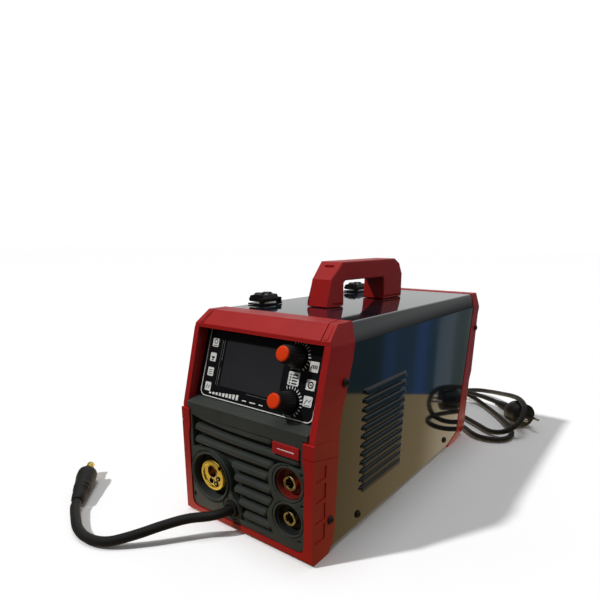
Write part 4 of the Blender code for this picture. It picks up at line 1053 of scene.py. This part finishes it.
fan_place = Matrix.Translation((30, 379.9, 110)) @ BACKWARD
guard = [torus(radius, 0.8, fan_place) for radius in (9, 15, 21, 27, 33)]
guard.append(lathe([(0, 1.2), (5.5, 1.2), (6, 0.8), (6, -0.4), (0, -0.4)], fan_place, 32))
for turn in range(4):
    a = math.radians(45 + 90 * turn)
    direction = Vector((math.cos(a), 0, math.sin(a)))
    centre = Vector((30, 379.3, 110))
    guard.append(rod(centre + direction * 5, centre + direction * 37.5, 1.0, 12))
    guard.append(lathe([(0, 1.1), (2.4, 0.9), (3.2, 0), (3.2, -0.9), (0, -0.9)],
                       Matrix.Translation(centre + direction * 38 + Vector((0, 0.4, 0))) @ BACKWARD, 24))
piece("fan_guard_wire", joined(guard), "steel", replaces=["fan_guard"], clean=False)


# ---- wire spool and inside wiring ---------------------------------------------------------
spool_place = Matrix.Translation((0, 270, 112)) @ SIDEWAYS
reel = [(49.6, -64), (50, -63.6), (50, -62.4), (49.6, -62), (24, -62), (24, -25), (49.6, -25), (50, -24.6),
        (50, -23.4), (49.6, -23), (7.8, -23), (7.8, -64)]
piece("spool_reel", lathe(reel, spool_place, 72, True), "black", body="spool",
      replaces=["wire_spool"], clean=False)
winding = [(25, -61.9)]
for turn in range(30):
    middle = -61.2 + turn * 1.2
    winding += [(43.4, middle - 0.55), (44.0, middle - 0.25), (44.0, middle + 0.25), (43.4, middle + 0.55)]
winding += [(25, -25.1)]
piece("spool_winding", lathe(winding, spool_place, 72, True), "copper", body="spool",
      clean=False, sharp=60)
wire = [(232, 91), (205, 74), (180, 60), (160, 52), (140, 48.6), (118, 48), (104, 48), (90, 48), (62, 48)]
wire = tube([(TORCH[0], y, z) for y, z in wire], 0.45, 8)
piece("feed_wire", wire, "copper", clean=False, sharp=60)
hose = tube([(-48, 364, 50), (-50, 345, 44), (-58, 320, 24), (-62, 290, 14), (-62, 250, 10.5),
             (-60, 200, 10), (-58, 160, 11), (-56, 120, 16), (-52, 90, 26), (-49, 70, 37), (-46, 61, 44)],
            3.4, 14)
piece("gas_hose", hose, "hose", clean=False, sharp=60)


# ---- stage --------------------------------------------------------------------------------
def ramp(tree, value, low, high, stops):
    """Colours along a value: each stop is (place, colour)."""
    made = tree.nodes.new("ShaderNodeValToRGB")
    made.color_ramp.interpolation = "EASE"
    elements = made.color_ramp.elements
    elements[0].color = (*stops[0][1], 1)
    elements[1].color = (*stops[-1][1], 1)
    for place, colour in stops[1:-1]:
        elements.new((place - low) / (high - low)).color = (*colour, 1)
    tree.links.new(ranged(tree, value, 0, 1, low, high), made.inputs["Fac"])
    return made.outputs["Color"]


def along_floor(tree, place, weights):
    return node(tree, "VectorMath", "Value", {0: place, 1: weights}, operation="DOT_PRODUCT")


def stage_material():
    """Pale where the camera looks at it. Every other ray sees a glow: a painted reflection of a warm brown
    work top that ends at the wall of a blue room. This glow also lights the machine from below.
    """
    made, tree, shader = nodes_of("floor")
    place = node(tree, "NewGeometry", "Position", {})
    grain = noise(tree, place, 6, 3)
    pale = mixed(tree, ranged(tree, grain, 0, 1), (0.92, 0.92, 0.92), (0.90, 0.90, 0.90))
    # the emission colour below is a painted reflection: warm colours across the floor, blue room colours
    # beyond a line, and a dark brown strip in front
    ahead = along_floor(tree, place, (0.6, 0.8, 0))
    spread = maths(tree, along_floor(tree, place, (0.8, -0.6, 0)), "SUBTRACT", 0.195)
    across = maths(tree, spread, "DIVIDE", maths(tree, ahead, "ADD", 0.4605))
    bench_reflection = ramp(tree, across, -0.40, 0.0, PAINTED_BENCH_REFLECTION)
    wall = ramp(tree, across, -0.40, 0.0, PAINTED_WALL_REFLECTION)
    beyond = ranged(tree, ahead, 0, 1, 0.383, 0.389)
    before = ranged(tree, along_floor(tree, place, (0, 1, 0)), 0, 1, -0.34, -0.16)
    painted_reflection = mixed(tree, before, (0.05, 0.032, 0.016), mixed(tree, beyond, bench_reflection, wall))
    # camera rays see the pale floor; every other ray sees the painted reflection as light, so it also glows
    # onto the machine
    camera_ray = node(tree, "LightPath", "Is Camera Ray", {})
    dark = (0.0, 0.0, 0.0)
    for word, value in (("Base Color", mixed(tree, camera_ray, dark, pale)),
                        ("Emission Color", mixed(tree, camera_ray, painted_reflection, dark)),
                        ("Emission Strength", 1.0), ("Roughness", 0.9)):
        feed(tree, shader.inputs[word], value)
    return made


# colours of the painted reflection of a warm work top, by place across the floor
PAINTED_BENCH_REFLECTION = (
    (-0.400, (1.200, 1.000, 0.740)), (-0.331, (0.660, 0.540, 0.360)), (-0.266, (0.360, 0.270, 0.140)),
    (-0.062, (0.220, 0.150, 0.055)),
)
# colours of the painted reflection of a blue room's wall, in bands across the floor
PAINTED_WALL_REFLECTION = (
    (-0.400, (0.160, 0.190, 0.200)), (-0.363, (0.150, 0.180, 0.190)), (-0.355, (0.050, 0.075, 0.072)),
    (-0.335, (0.055, 0.080, 0.082)), (-0.325, (0.110, 0.150, 0.185)), (-0.298, (0.100, 0.140, 0.175)),
    (-0.291, (0.016, 0.050, 0.085)), (-0.276, (0.020, 0.055, 0.110)), (-0.268, (0.028, 0.078, 0.220)),
    (-0.253, (0.028, 0.075, 0.190)), (-0.246, (0.020, 0.055, 0.100)), (-0.209, (0.020, 0.055, 0.100)),
    (-0.200, (0.025, 0.070, 0.170)), (-0.183, (0.025, 0.065, 0.150)), (-0.175, (0.012, 0.035, 0.045)),
    (-0.062, (0.012, 0.035, 0.042)),
)


floor_work = bmesh.new()
corners = [floor_work.verts.new((x, y, -0.0003)) for x, y in ((-30, -30), (30, -30), (30, 30), (-30, 30))]
floor_work.faces.new(corners)
floor = bpy.data.objects.new("floor", mesh_of(floor_work))
floor.data.materials.append(stage_material())
bpy.context.scene.collection.objects.link(floor)

world = bpy.data.worlds.new("studio")
world.use_nodes = True
bpy.context.scene.world = world
tree = world.node_tree
background = tree.nodes["Background"]
path = tree.nodes.new("ShaderNodeLightPath")
direction = tree.nodes.new("ShaderNodeSeparateXYZ")
tree.links.new(node(tree, "TexCoord", "Generated", {}), direction.inputs["Vector"])


def room(word, start, end, low, high):
    """A soft step along one direction of the room."""
    return ranged(tree, direction.outputs[word], low, high, start, end, interpolation_type="SMOOTHSTEP")


# what gloss sees: a dim room with a bright ceiling and a bright wall behind the machine
ceiling = room("Z", 0.55, 0.85, 0.0, 0.8)
low_wall = maths(tree, room("Z", 0.02, 0.12, 0.0, 1.0), "MULTIPLY", room("X", -0.25, 0.25, 0.56, 0.22))
wall = maths(tree, room("Y", 0.15, 0.6, 0.0, 1.0), "MULTIPLY", low_wall)
mirrored = maths(tree, maths(tree, ceiling, "MAXIMUM", wall), "ADD", 0.03)
plain = maths(tree, maths(tree, path.outputs["Is Camera Ray"], "MULTIPLY", 0.80), "ADD", 0.26)
glossy = path.outputs["Is Glossy Ray"]
strength = maths(tree, maths(tree, mirrored, "MULTIPLY", glossy), "ADD",
                 maths(tree, plain, "MULTIPLY", maths(tree, 1.0, "SUBTRACT", glossy)))
feed(tree, background.inputs["Strength"], strength)
feed(tree, background.inputs["Color"], (1.0, 1.0, 1.0))

# the fill lights only the red mouldings, so that the shadow on the floor keeps its depth
reds = bpy.data.collections.new("red_mouldings")
for thing in bpy.context.scene.objects:
    if thing.type == "MESH" and "red_moulding" in thing.material_slots:
        reds.objects.link(thing)
# each sun: energy, width in degrees, direction
SUNS = {
    "key": (2.75, 3, (0.42, 0.56, -0.72)), "top": (0.85, 25, (0.05, -0.05, -1)),
    "fill": (0.8, 60, (-0.80, -0.35, -0.40)),
}
for name, (energy, width, toward) in SUNS.items():
    sun = bpy.data.lights.new(name, "SUN")
    sun.energy = energy
    sun.angle = math.radians(width)
    lamp = bpy.data.objects.new(name, sun)
    lamp.rotation_euler = Vector(toward).to_track_quat("-Z", "Y").to_euler()
    lamp.visible_glossy = False
    if name == "fill":
        lamp.light_linking.receiver_collection = reds
    bpy.context.scene.collection.objects.link(lamp)
